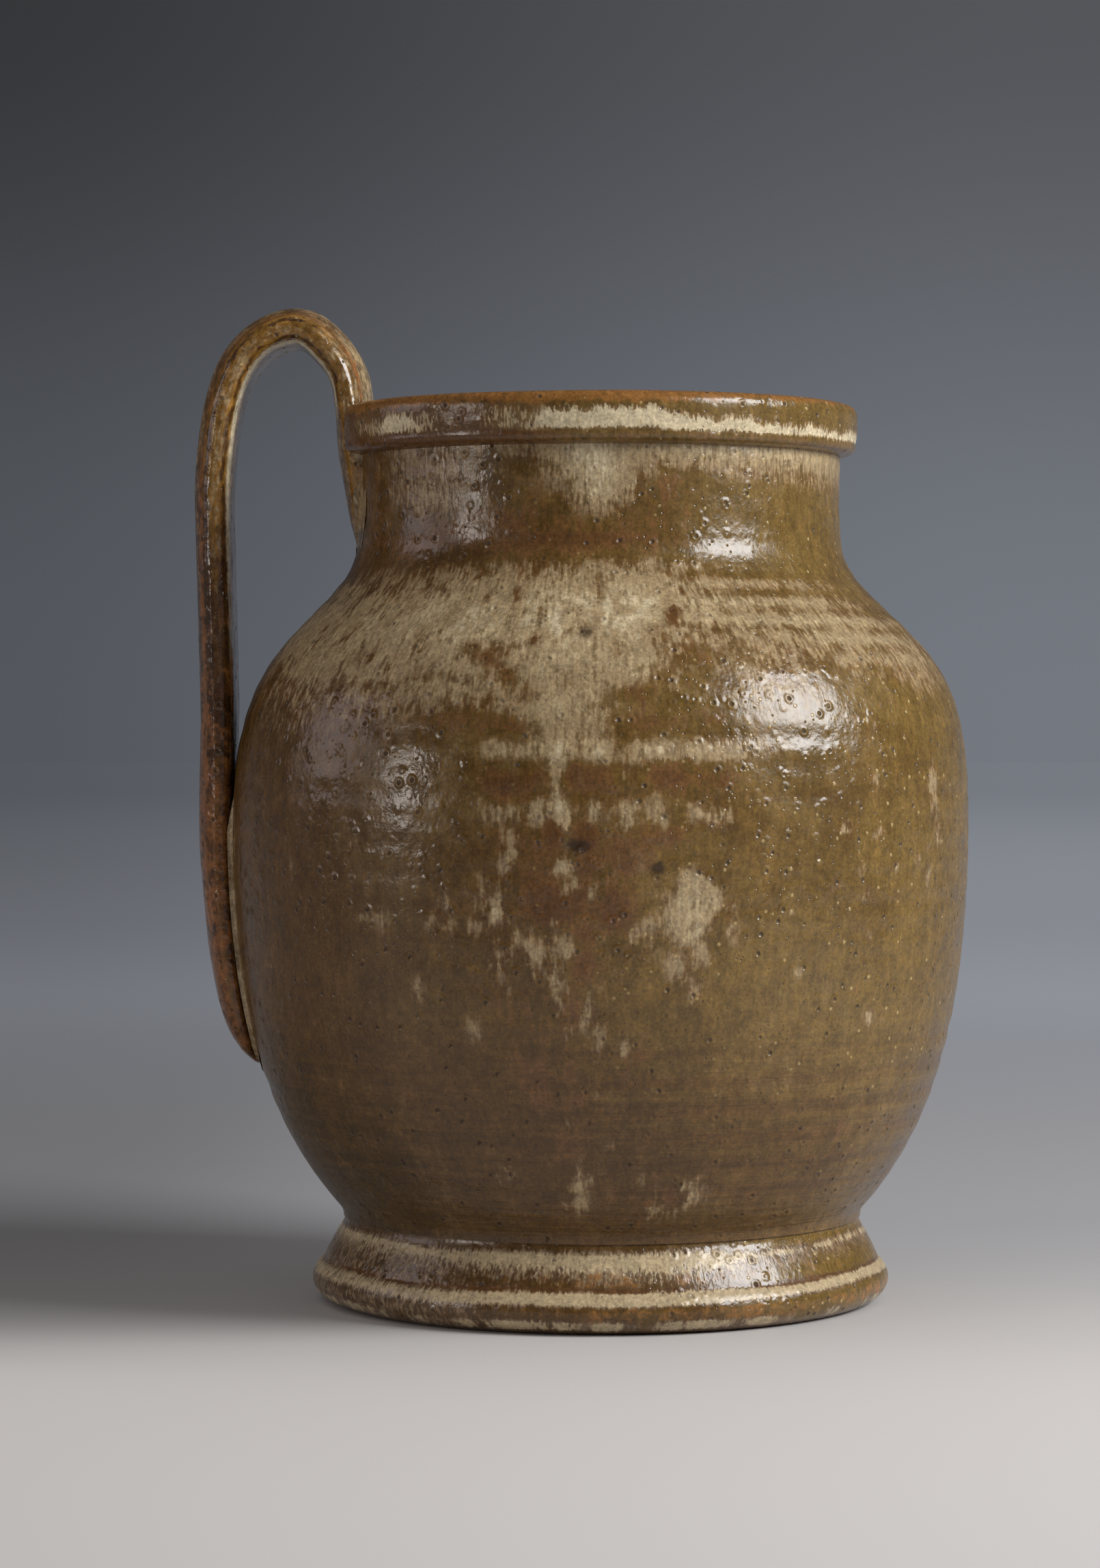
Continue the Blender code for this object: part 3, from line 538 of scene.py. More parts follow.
wall = {
    "waistRadius": 0.0614, "waistCurve": 0.0040, "thickness": 0.0060, "neckThickness": 0.0052,
    "flare": 49.0, "flarePull": 0.23, "lowFullness": 0.55, "highFullness": 0.50,
    "shoulderOut": 0.0085, "shoulderDown": 0.0148, "shoulderPull": 0.0170, "covePull": 0.0060,
    "fineStep": 0.0011, "coarseStep": 0.0036,
    "liningDepth": 0.0025,  # points deeper than this in the wall are its lining
    "lowWall": 0.075,  # painted shade: the glaze is painted darker from this height down
    "stripeRows": (168.5, 4.2), "stripes": [(30, 165, 18, 7, 0.60), (58, 158, 18, 8, 0.45)],  # on the shoulder's rings
    "fingerLines": [  # height, depth and half width in mm of the grooves left by the fingers
        (170.6, 0.22, 0.9), (166.4, 0.24, 0.9), (162.2, 0.22, 0.9), (158.2, 0.14, 1.0), (134.6, 0.16, 1.9),
        (127.5, 0.08, 1.6), (120.8, 0.20, 1.8), (114.0, 0.08, 1.6), (96.0, 0.08, 1.6), (64.5, 0.20, 1.5),
        (58.0, 0.34, 1.6), (51.5, 0.42, 1.6), (45.0, 0.45, 1.7), (38.5, 0.42, 1.6), (32.5, 0.32, 1.4)],
    "paleSpots": [  # mottled shoulder
        (-75, 160, 14, 9, 0.60), (-52, 160, 16, 10, 0.70), (-30, 161, 14, 10, 0.76), (-12, 161, 12, 11, 0.78),
        (2, 162, 10, 11, 0.76), (13, 164, 9, 9, 0.58), (24, 163, 9, 8, 0.38), (36, 160, 12, 8, 0.38),
        (50, 158, 14, 9, 0.52), (66, 152, 12, 8, 0.40), (-58, 150, 14, 6, 0.34), (-38, 149, 10, 6, 0.34),
        (-54, 141, 20, 8, 0.24), (-28, 139, 10, 6, 0.18), (-24, 148, 9, 7, 0.48), (-7, 147, 7, 8, 0.56),
        (5, 148, 5, 7, 0.50), (-7, 138, 5, 7, 0.50), (-1, 137, 2.4, 4, 0.34), (-13, 140, 4, 4, 0.26),
        (26, 147, 10, 7, 0.36),
        # short drips hanging in two rows under the shoulder
        (-15.8, 131, 2.1, 2.3, 0.86), (-11.4, 130.8, 1.9, 2.1, 0.66), (-6.9, 130.4, 1.9, 3.4, 0.82),
        (-1.1, 130.8, 2.2, 2.8, 0.84), (5.6, 131, 1.9, 2.5, 0.78), (8.8, 131, 1.9, 2.5, 0.82),
        (13.6, 131, 2.3, 2.5, 0.90), (18.5, 131, 2.8, 2.6, 0.82), (24, 131, 3, 2.4, 0.36),
        (-7.4, 125, 1.4, 4.6, 0.28), (3.4, 125, 1.4, 3.6, 0.30), (-15.8, 117.6, 1.9, 2.4, 0.52),
        (-9.8, 118, 1.5, 3.0, 0.66), (-6.7, 117.4, 1.5, 3.0, 0.76), (-1.4, 118, 1.3, 2.8, 0.56),
        (3.4, 117.5, 1.1, 3.0, 0.42), (7.0, 118.5, 1.2, 3.4, 0.44), (13.4, 117.6, 1.6, 3.2, 0.56),
        (17.0, 116.6, 1.9, 2.8, 0.66), (-8.4, 111.6, 1.2, 2.4, 0.30),
        # blotches and runs down the belly
        (-4, 106, 12, 26, 0.32), (-6.4, 105.6, 1.3, 1.4, 0.72), (-10.7, 95, 1.6, 2.6, 0.66),
        (-16.4, 95.6, 1.0, 1.8, 0.42), (-5.3, 87.5, 1.2, 2.6, 0.60), (-9.8, 84.5, 1.5, 4.4, 0.60),
        (6, 92.5, 3.2, 2.2, 0.46), (-13, 88, 1.2, 3.6, 0.30), (-6.6, 78, 1.3, 3.0, 0.46),
        (-3.6, 72, 1.8, 3, 0.46), (10.4, 84, 1.2, 3, 0.36), (19, 91, 1.2, 2.4, 0.36),
        # the spots at 58 to 61.5 degrees, by the right highlight, are partly pale runs, partly painted glints
        (18.6, 96, 1.0, 2.2, 0.42), (45, 71, 1.2, 1.8, 0.7), (60, 124, 1.2, 5, 0.50),
        (61.5, 112, 1.1, 4, 0.46), (58, 103, 1.1, 3, 0.40), (-5.8, 49, 2.2, 2.0, 0.36),
        (-5.4, 43, 1.4, 2.4, 0.28), (13.2, 31.0, 4.2, 3.2, 0.28), (10, 27.6, 2.6, 2.2, 0.22),
        (17, 32, 2, 2, 0.22), (-4.6, 35, 2.2, 3.2, 0.22), (-5, 29, 2, 2.5, 0.26), (-18, 36, 2, 2.4, 0.36),
        (-20, 70, 1.4, 3, 0.36),
        # the unseen back
        (120, 160, 20, 9, 0.60), (160, 162, 18, 10, 0.66), (-150, 158, 20, 9, 0.62), (-110, 162, 18, 8, 0.56),
        (90, 156, 14, 5, 0.30), (140, 135, 5, 12, 0.42), (-170, 125, 4, 14, 0.44), (150, 104, 3.0, 5, 0.50),
        (-135, 118, 4, 12, 0.38), (100, 110, 3, 9, 0.36), (-160, 70, 3, 8, 0.36)],
    "paleBlots": [  # hard-edged splashes
        (12.0, 94.5, 2.6, 4.6, 1.0), (13.0, 100.5, 1.9, 3.4, 0.9), (15.9, 98, 1.0, 2.0, 0.7),
        (175, 98, 3.2, 6.0, 1.0), (178, 90, 1.6, 4.0, 0.7)],
    "paleFlecks": [  # count, angle, height, spreads of both, half width, half height, strength
        (70, -6, 99, 7.5, 15, 0.75, 2.3, 0.37), (9, 13, 86, 4.0, 5, 0.9, 2.0, 0.30),
        (20, -5, 58, 4.5, 9, 0.9, 1.6, 0.26), (16, 13, 30.5, 4.0, 2.6, 0.9, 1.4, 0.34),
        # the field at 42 degrees, by the right highlight, is partly pale flecks, partly painted glints
        (10, -5, 34, 2.6, 5, 0.9, 1.5, 0.30), (26, 42, 110, 10, 16, 0.9, 1.2, 0.40),
        (14, -30, 100, 12, 20, 1.0, 1.5, 0.36), (40, 172, 105, 26, 24, 1.0, 2.2, 0.42),
        (16, 95, 80, 16, 22, 1.0, 1.8, 0.36)],
    "deepFlecks": [
        (34, -28, 158, 20, 6.5, 1.2, 1.7, 0.52), (18, 8, 160, 11, 6.0, 1.1, 1.6, 0.42),
        (14, -4, 112, 9, 9, 1.6, 2.4, 0.50), (16, -6, 92, 7, 12, 1.6, 2.6, 0.60),
        (36, 165, 158, 40, 6.0, 1.2, 1.7, 0.50), (14, 13, 31, 4.5, 3.0, 1.0, 1.5, 0.62),
        (12, -5, 46, 2.6, 7, 1.0, 1.6, 0.55), (10, 40, 45, 4, 6, 0.9, 1.4, 0.45)],
    "deepSpots": [  # brown breaks: at the neck's base, through the shoulder, between the drips
        (-60, 179.5, 18, 4.0, 0.70), (-30, 179.0, 18, 4.0, 0.75), (-5, 178.6, 14, 4.0, 0.70),
        (14, 178.4, 12, 3.4, 0.40), (-18.5, 150.6, 2.6, 2.8, 0.80), (-15.5, 147.5, 1.6, 2.0, 0.6),
        (-23, 153.4, 1.8, 2.8, 0.70), (-30, 148, 3, 2.4, 0.60), (-1, 167.6, 1.4, 2.8, 0.60),
        (-3, 158, 1.8, 2.6, 0.5), (-34, 157, 1.6, 2.4, 0.55), (-40, 163, 1.4, 2.2, 0.5),
        (-52, 158, 2, 2.6, 0.55), (-27, 164, 1.2, 2.2, 0.45), (8, 157, 1.4, 2.4, 0.45),
        (-12, 155, 1.2, 2.0, 0.45), (-6.3, 146.4, 1.8, 2.8, 0.60), (4.8, 143.8, 3.6, 2.8, 0.70),
        (-12, 143.5, 2.4, 2.6, 0.55), (-45, 152, 3, 2.6, 0.5), (-15, 136.5, 4.5, 2.4, 0.60),
        (6.0, 137.2, 5, 2.6, 0.75), (16, 138, 5, 2.4, 0.55), (-26, 137, 6, 3, 0.45),
        (-16.4, 124.6, 2.8, 3.8, 0.80), (-11.4, 124.3, 2.8, 3.9, 0.88), (-4.0, 124.8, 2.0, 3.4, 0.80),
        (-0.9, 124.6, 2.0, 3.6, 0.70), (7.6, 125.2, 2.0, 3.4, 0.70), (10.6, 125.2, 2.0, 3.2, 0.75),
        (16.4, 124.6, 3.8, 3.4, 0.80), (3, 123, 2.6, 2.4, 0.40), (-22, 125, 3, 3, 0.4), (-10, 110, 6, 4, 0.62),
        (2, 109, 6, 5, 0.62), (9, 112, 4, 3, 0.5), (-8, 99, 6, 7, 0.58), (1, 96, 5, 8, 0.50),
        (-12, 78, 5, 8, 0.42), (-8, 60, 5, 10, 0.34), (-5.5, 53.5, 3, 1.6, 0.5), (150, 178.5, 40, 2.6, 0.70),
        (170, 140, 14, 4, 0.6), (140, 124, 10, 4, 0.6), (-150, 132, 12, 4, 0.6)],
    "smutSpots": [(-3.5, 157.6, 1.6, 2.0, 0.70), (-3.6, 110.5, 2.3, 1.9, 1.00), (7.7, 105.3, 1.4, 1.6, 1.05),
                  (-20, 145, 0.8, 1.0, 0.6), (24, 127, 0.9, 1.2, 0.6), (-166, 150, 1.6, 1.6, 0.7)],
}


def fingered(height):  # depth of the finger grooves at a height
    level, depth, wide = np.array(wall["fingerLines"]).T[:, :, None] / 1000.0
    return (depth * bump(height[None], level, wide)).sum(axis=0)


def lowerOutside():  # up out of the waist, then the full curve of the belly
    flare, curve = math.radians(wall["flare"]), wall["waistCurve"]
    turn = np.linspace(0.0, math.pi / 2 - flare, 7)
    waist = np.column_stack([wall["waistRadius"] + curve * (1 - np.cos(turn)), waistZ + curve * np.sin(turn)])
    start, pull = waist[-1], wall["flarePull"] * (bellyZ - waistZ)
    lift = start + pull * np.array([math.cos(flare), math.sin(flare)])
    full = (bellyRadius, bellyZ - wall["lowFullness"] * (bellyZ - waistZ))
    return np.vstack([waist[:-1], pulled(start, lift, full, (bellyRadius, bellyZ), wall["fineStep"])])


def upperOutside():
    turnAt = np.array([neckRadius + wall["shoulderOut"], neckZ - wall["shoulderDown"]])
    slope = np.array([-1.0, 1.0]) / math.sqrt(2.0)
    full = (bellyRadius, bellyZ + wall["highFullness"] * (neckZ - bellyZ))
    crown = pulled((bellyRadius, bellyZ), full, turnAt - slope * wall["shoulderPull"], turnAt, wall["fineStep"])
    cove = pulled(turnAt, turnAt + slope * wall["covePull"], (neckRadius, neckZ - wall["covePull"]),
                  (neckRadius, neckZ), wall["fineStep"])
    return np.vstack([crown, cove[1:]])


def shell(outside, wallStart, wallEnd):  # closed outline of a ring of wall
    thick = np.linspace(wallStart, wallEnd, len(outside))[:, None]
    lining = outside + leftOf(heading(outside)) * thick
    lining[0, 1], lining[-1, 1] = outside[0, 1], outside[-1, 1]
    lining = evenly(lining[::-1], wall["coarseStep"])
    middleTop = (outside[-1:] + lining[:1]) / 2
    middleEnd = (outside[:1] + lining[-1:]) / 2
    groove = fingered(outside[:, 1])
    return [(outside, 1.0, 0.0, groove), (middleTop, 0.0, 0.0, 0.0), (lining, 0.7, 0.0, 0.0),
            (middleEnd, 0.0, 0.0, 0.0), (outside[:1], 1.0, 0.0, groove[:1])]


bellyLine = np.vstack([lowerOutside(), upperOutside()[1:]])
bellyRun = runOf(bellyLine)  # length up the wall


def wallRadius(height):
    return np.interp(height, bellyLine[:, 1], bellyLine[:, 0])


def paintWall(piece):
    angle, radius, height, _ = measured(piece)
    lining = radius < wallRadius(height) - wall["liningDepth"]
    crest, pitch = wall["stripeRows"]
    rows = 0.5 * np.cos(math.tau * (height * 1000.0 - crest) / pitch)  # pale stripes on the rings
    deep = marks(angle, height, wall["deepSpots"] + scattered(wall["deepFlecks"], 11))
    pale = marks(angle, height, wall["paleSpots"] + scattered(wall["paleFlecks"], 5))
    pale = pale + rows * marks(angle, height, wall["stripes"]) - 0.8 * deep
    pale = np.maximum(pale, np.minimum(2.2 * marks(angle, height, wall["paleBlots"]), 0.84))
    lowDown, left = unit(1.0 - height / wall["lowWall"]), handleSide(angle)
    # painted shade: darker low on the wall and towards the handle, away from the key lamp
    tone = litSideTone(angle) * 0.9 + ripple(angle, 1.7, 0.08) - (0.75 + 0.35 * left) * lowDown - 0.14 * left
    tone = tone - 1400.0 * fingered(height) * (0.6 + ripple(angle, 0.4, 0.5))
    smut = marks(angle, height, wall["smutSpots"])
    tone[lining], pale[lining], deep[lining], smut[lining] = *lined.values(), 0.0
    paint(piece, drum(angle, np.interp(height, bellyLine[:, 1], bellyRun)), tone=tone, pale=pale, deep=deep, smut=smut)


lowerBelly = thrown("lowerBelly", bellyGlaze, shell(lowerOutside(), wall["thickness"], wall["thickness"]))
upperBelly = thrown("upperBelly", bellyGlaze, shell(upperOutside(), wall["thickness"], wall["neckThickness"]))
neckLine = throughKnots([(neckRadius, neckZ), (neckRadius - 0.0003, neckZ + 0.006),
                         (neckRadius - 0.0002, rimZ - 0.006), (neckRadius, rimZ)], wall["fineStep"])
neckCollar = thrown("neckCollar", bellyGlaze, shell(neckLine, wall["neckThickness"], wall["neckThickness"]))
paintWall(lowerBelly)
paintWall(upperBelly)

neck = {
    "paleSpots": [  # the tongue of straw glaze under the rim, and the streaked band beside it
        (-3, 200, 13, 7, 0.76), (-1, 194, 11, 7, 0.62), (0, 188, 7, 5, 0.56), (18, 200, 9, 5, 0.80),
        (34, 200, 11, 5.5, 0.90), (52, 199, 13, 5.5, 0.72), (72, 198, 16, 6.0, 0.62), (-44, 199.5, 9, 5, 0.26),
        # the spot at -43 degrees, 190 mm is partly pale glaze, partly a painted sheen where the fill lamp reflects on
        # the neck's left
        (-72, 196, 12, 8, 0.14), (-24, 200.5, 14, 2.2, 0.44), (-43, 190, 18, 12, 0.35),
        (110, 198, 20, 7, 0.80), (150, 197, 16, 9, 0.80), (-150, 199, 24, 7, 0.75), (180, 191, 8, 7, 0.50)],
    "deepSpots": [
        # the first spot darkens the neck's far left beside the strap: painted shade
        (-67, 190, 13, 14, 0.36), (-22, 188, 12, 9, 0.22), (-15, 195, 5, 6, 0.22), (15, 188, 7, 8, 0.42),
        (-20, 181, 40, 4.5, 0.50), (160, 183, 60, 4, 0.50)],
}


def paintNeck(piece):
    angle, _, height, outward = measured(piece)
    lining = outward < -0.3
    tone = litSideTone(angle) * 0.9
    deep = marks(angle, height, neck["deepSpots"])
    pale = marks(angle, height, neck["paleSpots"]) - 0.4 * deep
    tone[lining], pale[lining], deep[lining] = lined.values()
    paint(piece, drum(angle, height), tone=tone, pale=pale, deep=deep)


paintNeck(neckCollar)

rim = {
    "knots": [  # radius from the rim's widest and height over the neck, in mm
        (-4.1, -0.7), (-3.0, -0.5), (-1.6, -0.1), (-0.8, 0.6), (-0.55, 1.4), (-0.60, 2.3), (-0.42, 3.1),
        (-0.25, 4.2), (-0.1, 6.0), (0.0, 8.0), (-0.15, 9.2), (-0.8, 10.4), (-2.1, 11.05), (-3.8, 11.2),
        (-5.7, 10.9), (-7.1, 9.8), (-7.7, 8.0), (-8.4, 4.8), (-9.35, 0.2), (-9.2, -0.7), (-6.5, -0.9),
        (-4.1, -0.7)],
    "step": 0.0006,
    "band": (2.7, 6.7), "rustFrom": 7.5,  # heights over the neck, in mm
    "solidSpots": [(-48, 0, 8, 1, 1.05), (-20, 0, 4, 1, 0.30), (150, 0, 60, 1, 0.2)],  # where the band is fuller
}
rimLine = throughKnots([(rimRadius + out / 1000.0, rimZ + up / 1000.0) for out, up in rim["knots"]], rim["step"])


def paintRim(piece):
    angle, _, height, outward = measured(piece)
    level = (height - rimZ) * 1000.0
    outer, front = outward > -0.1, frontOf(angle)
    solid = 0.72 + 0.62 * np.tanh((angle + 13) / 6) * front + ripple(angle * 3.0, 1.9, 0.22)  # thin at the left
    solid = np.clip(solid + marks(angle, np.zeros(len(angle)), rim["solidSpots"]), 0.0, 1.35)
    sway = ripple(angle * 2.0, 3.1, 0.9) + ripple(angle * 7.0, 0.6, 0.8)  # the band rises and dips
    dip = unit((angle - 9) / 26) * front  # and sinks to the right
    low, high = rim["band"]
    low = low + sway * 0.3 - 0.5 * dip
    high = high + sway - 1.9 * dip - 1.2 * unit((angle - 28) / 25) * front
    pale = unit((level - low) / 0.9 + 0.5) * unit((high - level) / 2.4 + 0.5) * solid * outer
    left = unit((-angle - 5) / 20) * front
    rust = unit((level - rim["rustFrom"] - 1.1 * dip) / 1.8) * (0.90 - 0.12 * left - 0.16 * dip)
    deep = unit((2.5 - level) / 0.8) * 0.50 + 0.85 * left * (level < 8.5)
    within = ~outer * unit((9.5 - level) / 5.0)  # 1 at the foot of the rim's inside, like the lining there
    rust = rust * (1 - 0.4 * ~outer) * (1 - within)
    pale, deep = pale + lined["pale"] * within, deep * (1 - within) + lined["deep"] * within
    tone = (litSideTone(angle) - 0.5 * left) * (1 - within) + lined["tone"] * within
    paint(piece, drum(angle, height), tone=tone, pale=pale, deep=deep, rust=rust)


rimBand = thrown("rimBand", rimGlaze, [(rimLine, 0.0, 1.0, 0.0)])
paintRim(rimBand)

foot = {
    "knots": [  # outside, radius from the bead's widest and height, in mm
        (-6.9, 0.0), (-5.4, 0.1), (-3.9, 0.5), (-2.0, 1.6), (-0.65, 3.1), (0.0, 4.9), (-0.2, 6.6), (-0.9, 8.1),
        (-1.7, 9.1), (-2.35, 9.6), (-2.7, 10.2), (-3.2, 11.4), (-4.2, 13.4), (-5.4, 15.6), (-6.5, 17.4),
        (-7.2, 18.8), (-7.45, 20.0)],
    "floor": 0.0090, "ringDepth": 0.00015, "ringPitch": 0.0062,  # rings left on the floor inside
    "step": 0.0006, "bowlStep": 0.0011, "underStep": 0.0030,
    "liningFrom": 0.004, "bareRadius": 0.0615,
    "cove": 18.0, "bead": (7.0, 9.7), "edging": (1.2, 3.4), "groove": 9.9,  # heights of the bands in mm
}


def footParts():  # underside, outside and bowl
    knots = [(footRadius + out / 1000.0, up / 1000.0) for out, up in foot["knots"]]
    outside = throughKnots(knots, foot["step"])
    under = evenly(np.array([(0.0, 0.0), outside[0]]), foot["underStep"])
    edge, low, floor = knots[-1][0], wall["waistRadius"] - 0.0079, foot["floor"]
    bowl = throughKnots([(edge, waistZ), (edge - 0.0010, waistZ), (low, waistZ), (low - 0.0016, 0.0155),
                         (low - 0.0042, 0.0115), (low - 0.0090, floor + 0.0002), (0.0250, floor), (0.0, floor)],
                        foot["bowlStep"])
    ringShare = unit((low - 0.010 - bowl[:, 0]) / 0.004) * unit(bowl[:, 0] / 0.004)
    bowl[:, 1] += foot["ringDepth"] * ringShare * np.sin(math.tau * bowl[:, 0] / foot["ringPitch"])
    return [(line, 0.0, 0.0, 0.0) for line in (under, outside[1:], bowl[1:])]


def hung(level, top, fade, soften):  # a pale band with a toothed top that thins downwards
    return unit((top - level) / soften + 0.5) * unit(1.25 - (top - level) / fade)


def paintFoot(piece):
    angle, radius, height, outward = measured(piece)
    outer = (outward > 0.05) & (height < waistZ - 0.0002)
    plain = height * 1000.0
    level = plain + ripple(angle, 2.2, 0.5)
    left = handleSide(angle)  # streakier, less pale and darker towards the handle
    right = unit((angle - 22) / 16.0) * unit((100 - angle) / 20.0)
    central = 1.0 - np.maximum(left, right)
    dashes = 0.60 + ripple(angle * 4.0, 4.0, 0.9) + ripple(angle * 11.0, 1.0, 0.5)
    cone = hung(level, foot["cove"] - 1.0 * right, 3.8 + 2.6 * central, 2.4) * (1.16 - 0.72 * left - 0.84 * right)
    cone = cone + 0.55 * left * bump(level, 17.5, 0.8)
    low, high = foot["bead"]
    bead = band(level, low + 0.8 * right, high, 1.3) * (1.30 - 0.45 * left)
    bead = bead + band(level, low / 2, low, 2.0) * 0.30 * left
    edging = band(level, *foot["edging"], 1.0) * np.clip(dashes + 0.3 * central - 0.25 * right, 0.0, 1.2)
    pale = (cone + 0.28 * left * (level < 17.5)) * (level > 10.2) + bead * (level < foot["groove"]) + edging
    pale = pale + bump(level, 16.9, 0.8) * right * (0.55 + ripple(angle * 14.0, 0.3, 0.5))
    deep = bump(plain, foot["groove"], 0.8) * 1.3 + band(plain, -1.0, 1.0, 0.8) + 0.4 * left * (level > 10)
    rust = band(plain, 3.2, 6.6, 1.2) * (0.15 + 0.34 * unit(litSideTone(angle) * 1.4 - 0.3)) * (1 - left)
    rust = rust + band(plain, 10.6, 14.0, 1.5) * 0.35 * central + 0.16 * right * (level > 10)
    tone = np.where(outer, litSideTone(angle) - 0.45 + 0.45 * right, lined["tone"])
    pale[~outer] = rust[~outer] = 0.05
    for value, within in ((pale, lined["pale"]), (rust, 0.0), (deep, lined["deep"])):
        value[~outer & (height > foot["liningFrom"])] = within
    bare = ((height < 0.0003) & (radius < foot["bareRadius"])) * 1.0
    flow = drum(angle, height, np.where(outer, 0.075, radius))
    paint(piece, flow, tone=tone, pale=pale, deep=deep, rust=rust, bare=bare)


footBase = thrown("footBase", footGlaze, footParts())
paintFoot(footBase)
print("turned members painted")

# handle strap, pulled and pressed on

strap = {
    "stations": [  # its outer line from the neck over the arch to the tail: x, z, width, thickness, crown in mm
        (-56.6, 178.2, 12, 1.6, 0.2), (-55.4, 184.0, 20, 4.2, 0.4), (-54.7, 192.0, 26, 5.8, 0.8),
        (-54.4, 201.0, 32, 7.2, 1.2), (-54.4, 210.0, 34, 6.6, 2.2), (-54.8, 217.5, 34, 6.4, 2.6),
        (-56.4, 222.4, 34, 6.6, 2.6), (-58.7, 226.2, 34, 6.8, 2.5), (-61.9, 229.9, 34, 7.0, 2.4),
        (-65.2, 232.9, 34, 7.0, 2.3), (-68.9, 234.7, 33.6, 7.0, 2.2), (-73.2, 235.2, 33.2, 7.0, 2.2),
        (-78.0, 234.3, 32.6, 7.0, 2.2), (-82.9, 232.0, 32, 7.0, 2.2), (-87.2, 228.4, 31.2, 7.0, 2.2),
        (-90.6, 223.6, 30.4, 7.0, 2.2), (-93.6, 216.4, 29.6, 7.0, 2.1), (-95.6, 207.0, 28.8, 7.0, 2.1),
        (-96.8, 194.0, 28, 7.0, 2.0), (-96.7, 180.0, 27.2, 7.0, 1.9), (-96.1, 160.0, 26.4, 7.0, 1.8),
        (-95.6, 138.0, 25.4, 7.0, 1.6), (-96.0, 118.0, 24.6, 6.6, 1.6), (-95.9, 107.0, 24.2, 6.2, 1.6),
        (-94.9, 94.0, 24, 5.8, 1.6), (-93.5, 82.0, 23.6, 5.4, 1.5), (-91.7, 72.0, 22.6, 5.0, 1.4),
        (-89.3, 64.2, 19.5, 4.2, 1.2), (-86.2, 59.2, 14.0, 3.0, 0.8), (-83.2, 56.3, 7.0, 1.4, 0.4),
        (-82.0, 55.6, 0.0, 0.0, 0.0)],
    "waver": [(0.0310, 0.07, 0.4), (0.0127, 0.06, 2.0), (0.0054, 0.05, 4.1)],  # wave length, size and start
    "patches": (0.0132, 0.0047),  # wave lengths of the patchy stripes
    "wrapNeck": (0.214, 0.012), "wrapBelly": (0.150, 0.035),  # where it starts to bend round the pot, over what height
    "Steps Around": 96, "Squareness": 3.2, "Unevenness": 0.00030, "Seed": 9.0, "step": 0.0011,
}
strapSizes = {label: strap[label] for label in ("Steps Around", "Squareness", "Unevenness", "Seed")}


def strapTree():
    size = newTree("pulledStrap", strapSizes)
    line = size["Geometry"]
    grid, across, row = sheetOf(line, size["Steps Around"] + 1.0)
    middle, out = placed(line, row), named(line, row, "out", "FLOAT_VECTOR")
    width, thickness, crown, curl = (named(line, row, label) for label in ("width", "thickness", "crown", "curl"))
    turn = across * math.tau
    power = 2.0 / size["Squareness"]

    def squared(value):  # a rounded oblong instead of an oval
        return calc("SIGN", value) * calc("POWER", calc("ABSOLUTE", value), power)

    side, face = squared(calc("COSINE", turn)), squared(calc("SINE", turn))
    over = side * (width * 0.5)
    hump = crown * (1.0 - side * side) * calc("MAXIMUM", face, 0.0)
    rough = wander(middle, 70.0, size["Seed"] + side) * size["Unevenness"] * (thickness / 0.007)
    raised = scaled(out, face * (thickness * 0.5) + (hump + rough))
    beside = summed(middle, joined(over * over * (curl * 0.5), over, 0.0))
    return endTree(grid, summed(beside, raised), size["Material"])


stations = throughKnots(np.array(strap["stations"]) / 1000.0, strap["step"])
window = np.hanning(13) / np.hanning(13).sum()  # evens out the listed knots
stations[6:-6] = np.column_stack([np.convolve(stations[:, k], window, "valid") for k in range(5)])
stations[-1, 2:] = 0.0
stations = np.vstack([stations[:1] * [1, 1, 0, 0, 0], stations])  # both ends close to a point
strapX, strapZ, strapWidth, strapThick, strapCrown = stations.T
stepAlong = heading(stations[:, :2])
stepAlong[0] = stepAlong[1]
outDir = leftOf(stepAlong)  # away from the inner face
outDir *= np.sign(outDir[len(outDir) // 3] @ np.array([-0.3, 1.0]))
middle = stations[:, :2] - outDir * (strapThick / 2 + strapCrown)[:, None]


def strapLine():
    (neckFrom, neckOver), (bellyFrom, bellyOver) = strap["wrapNeck"], strap["wrapBelly"]
    wrapNeck = unit((neckFrom - strapZ) / neckOver) * (strapX > legX)
    wrapBelly = unit((bellyFrom - strapZ) / bellyOver) * (strapX < legX)
    curl = wrapNeck / neckRadius * 0.8 + wrapBelly / np.maximum(wallRadius(strapZ), 0.05)
    return lineMesh("strapLine", upright(middle), out=upright(outDir), width=strapWidth, thickness=strapThick,
                    crown=strapCrown, curl=curl)


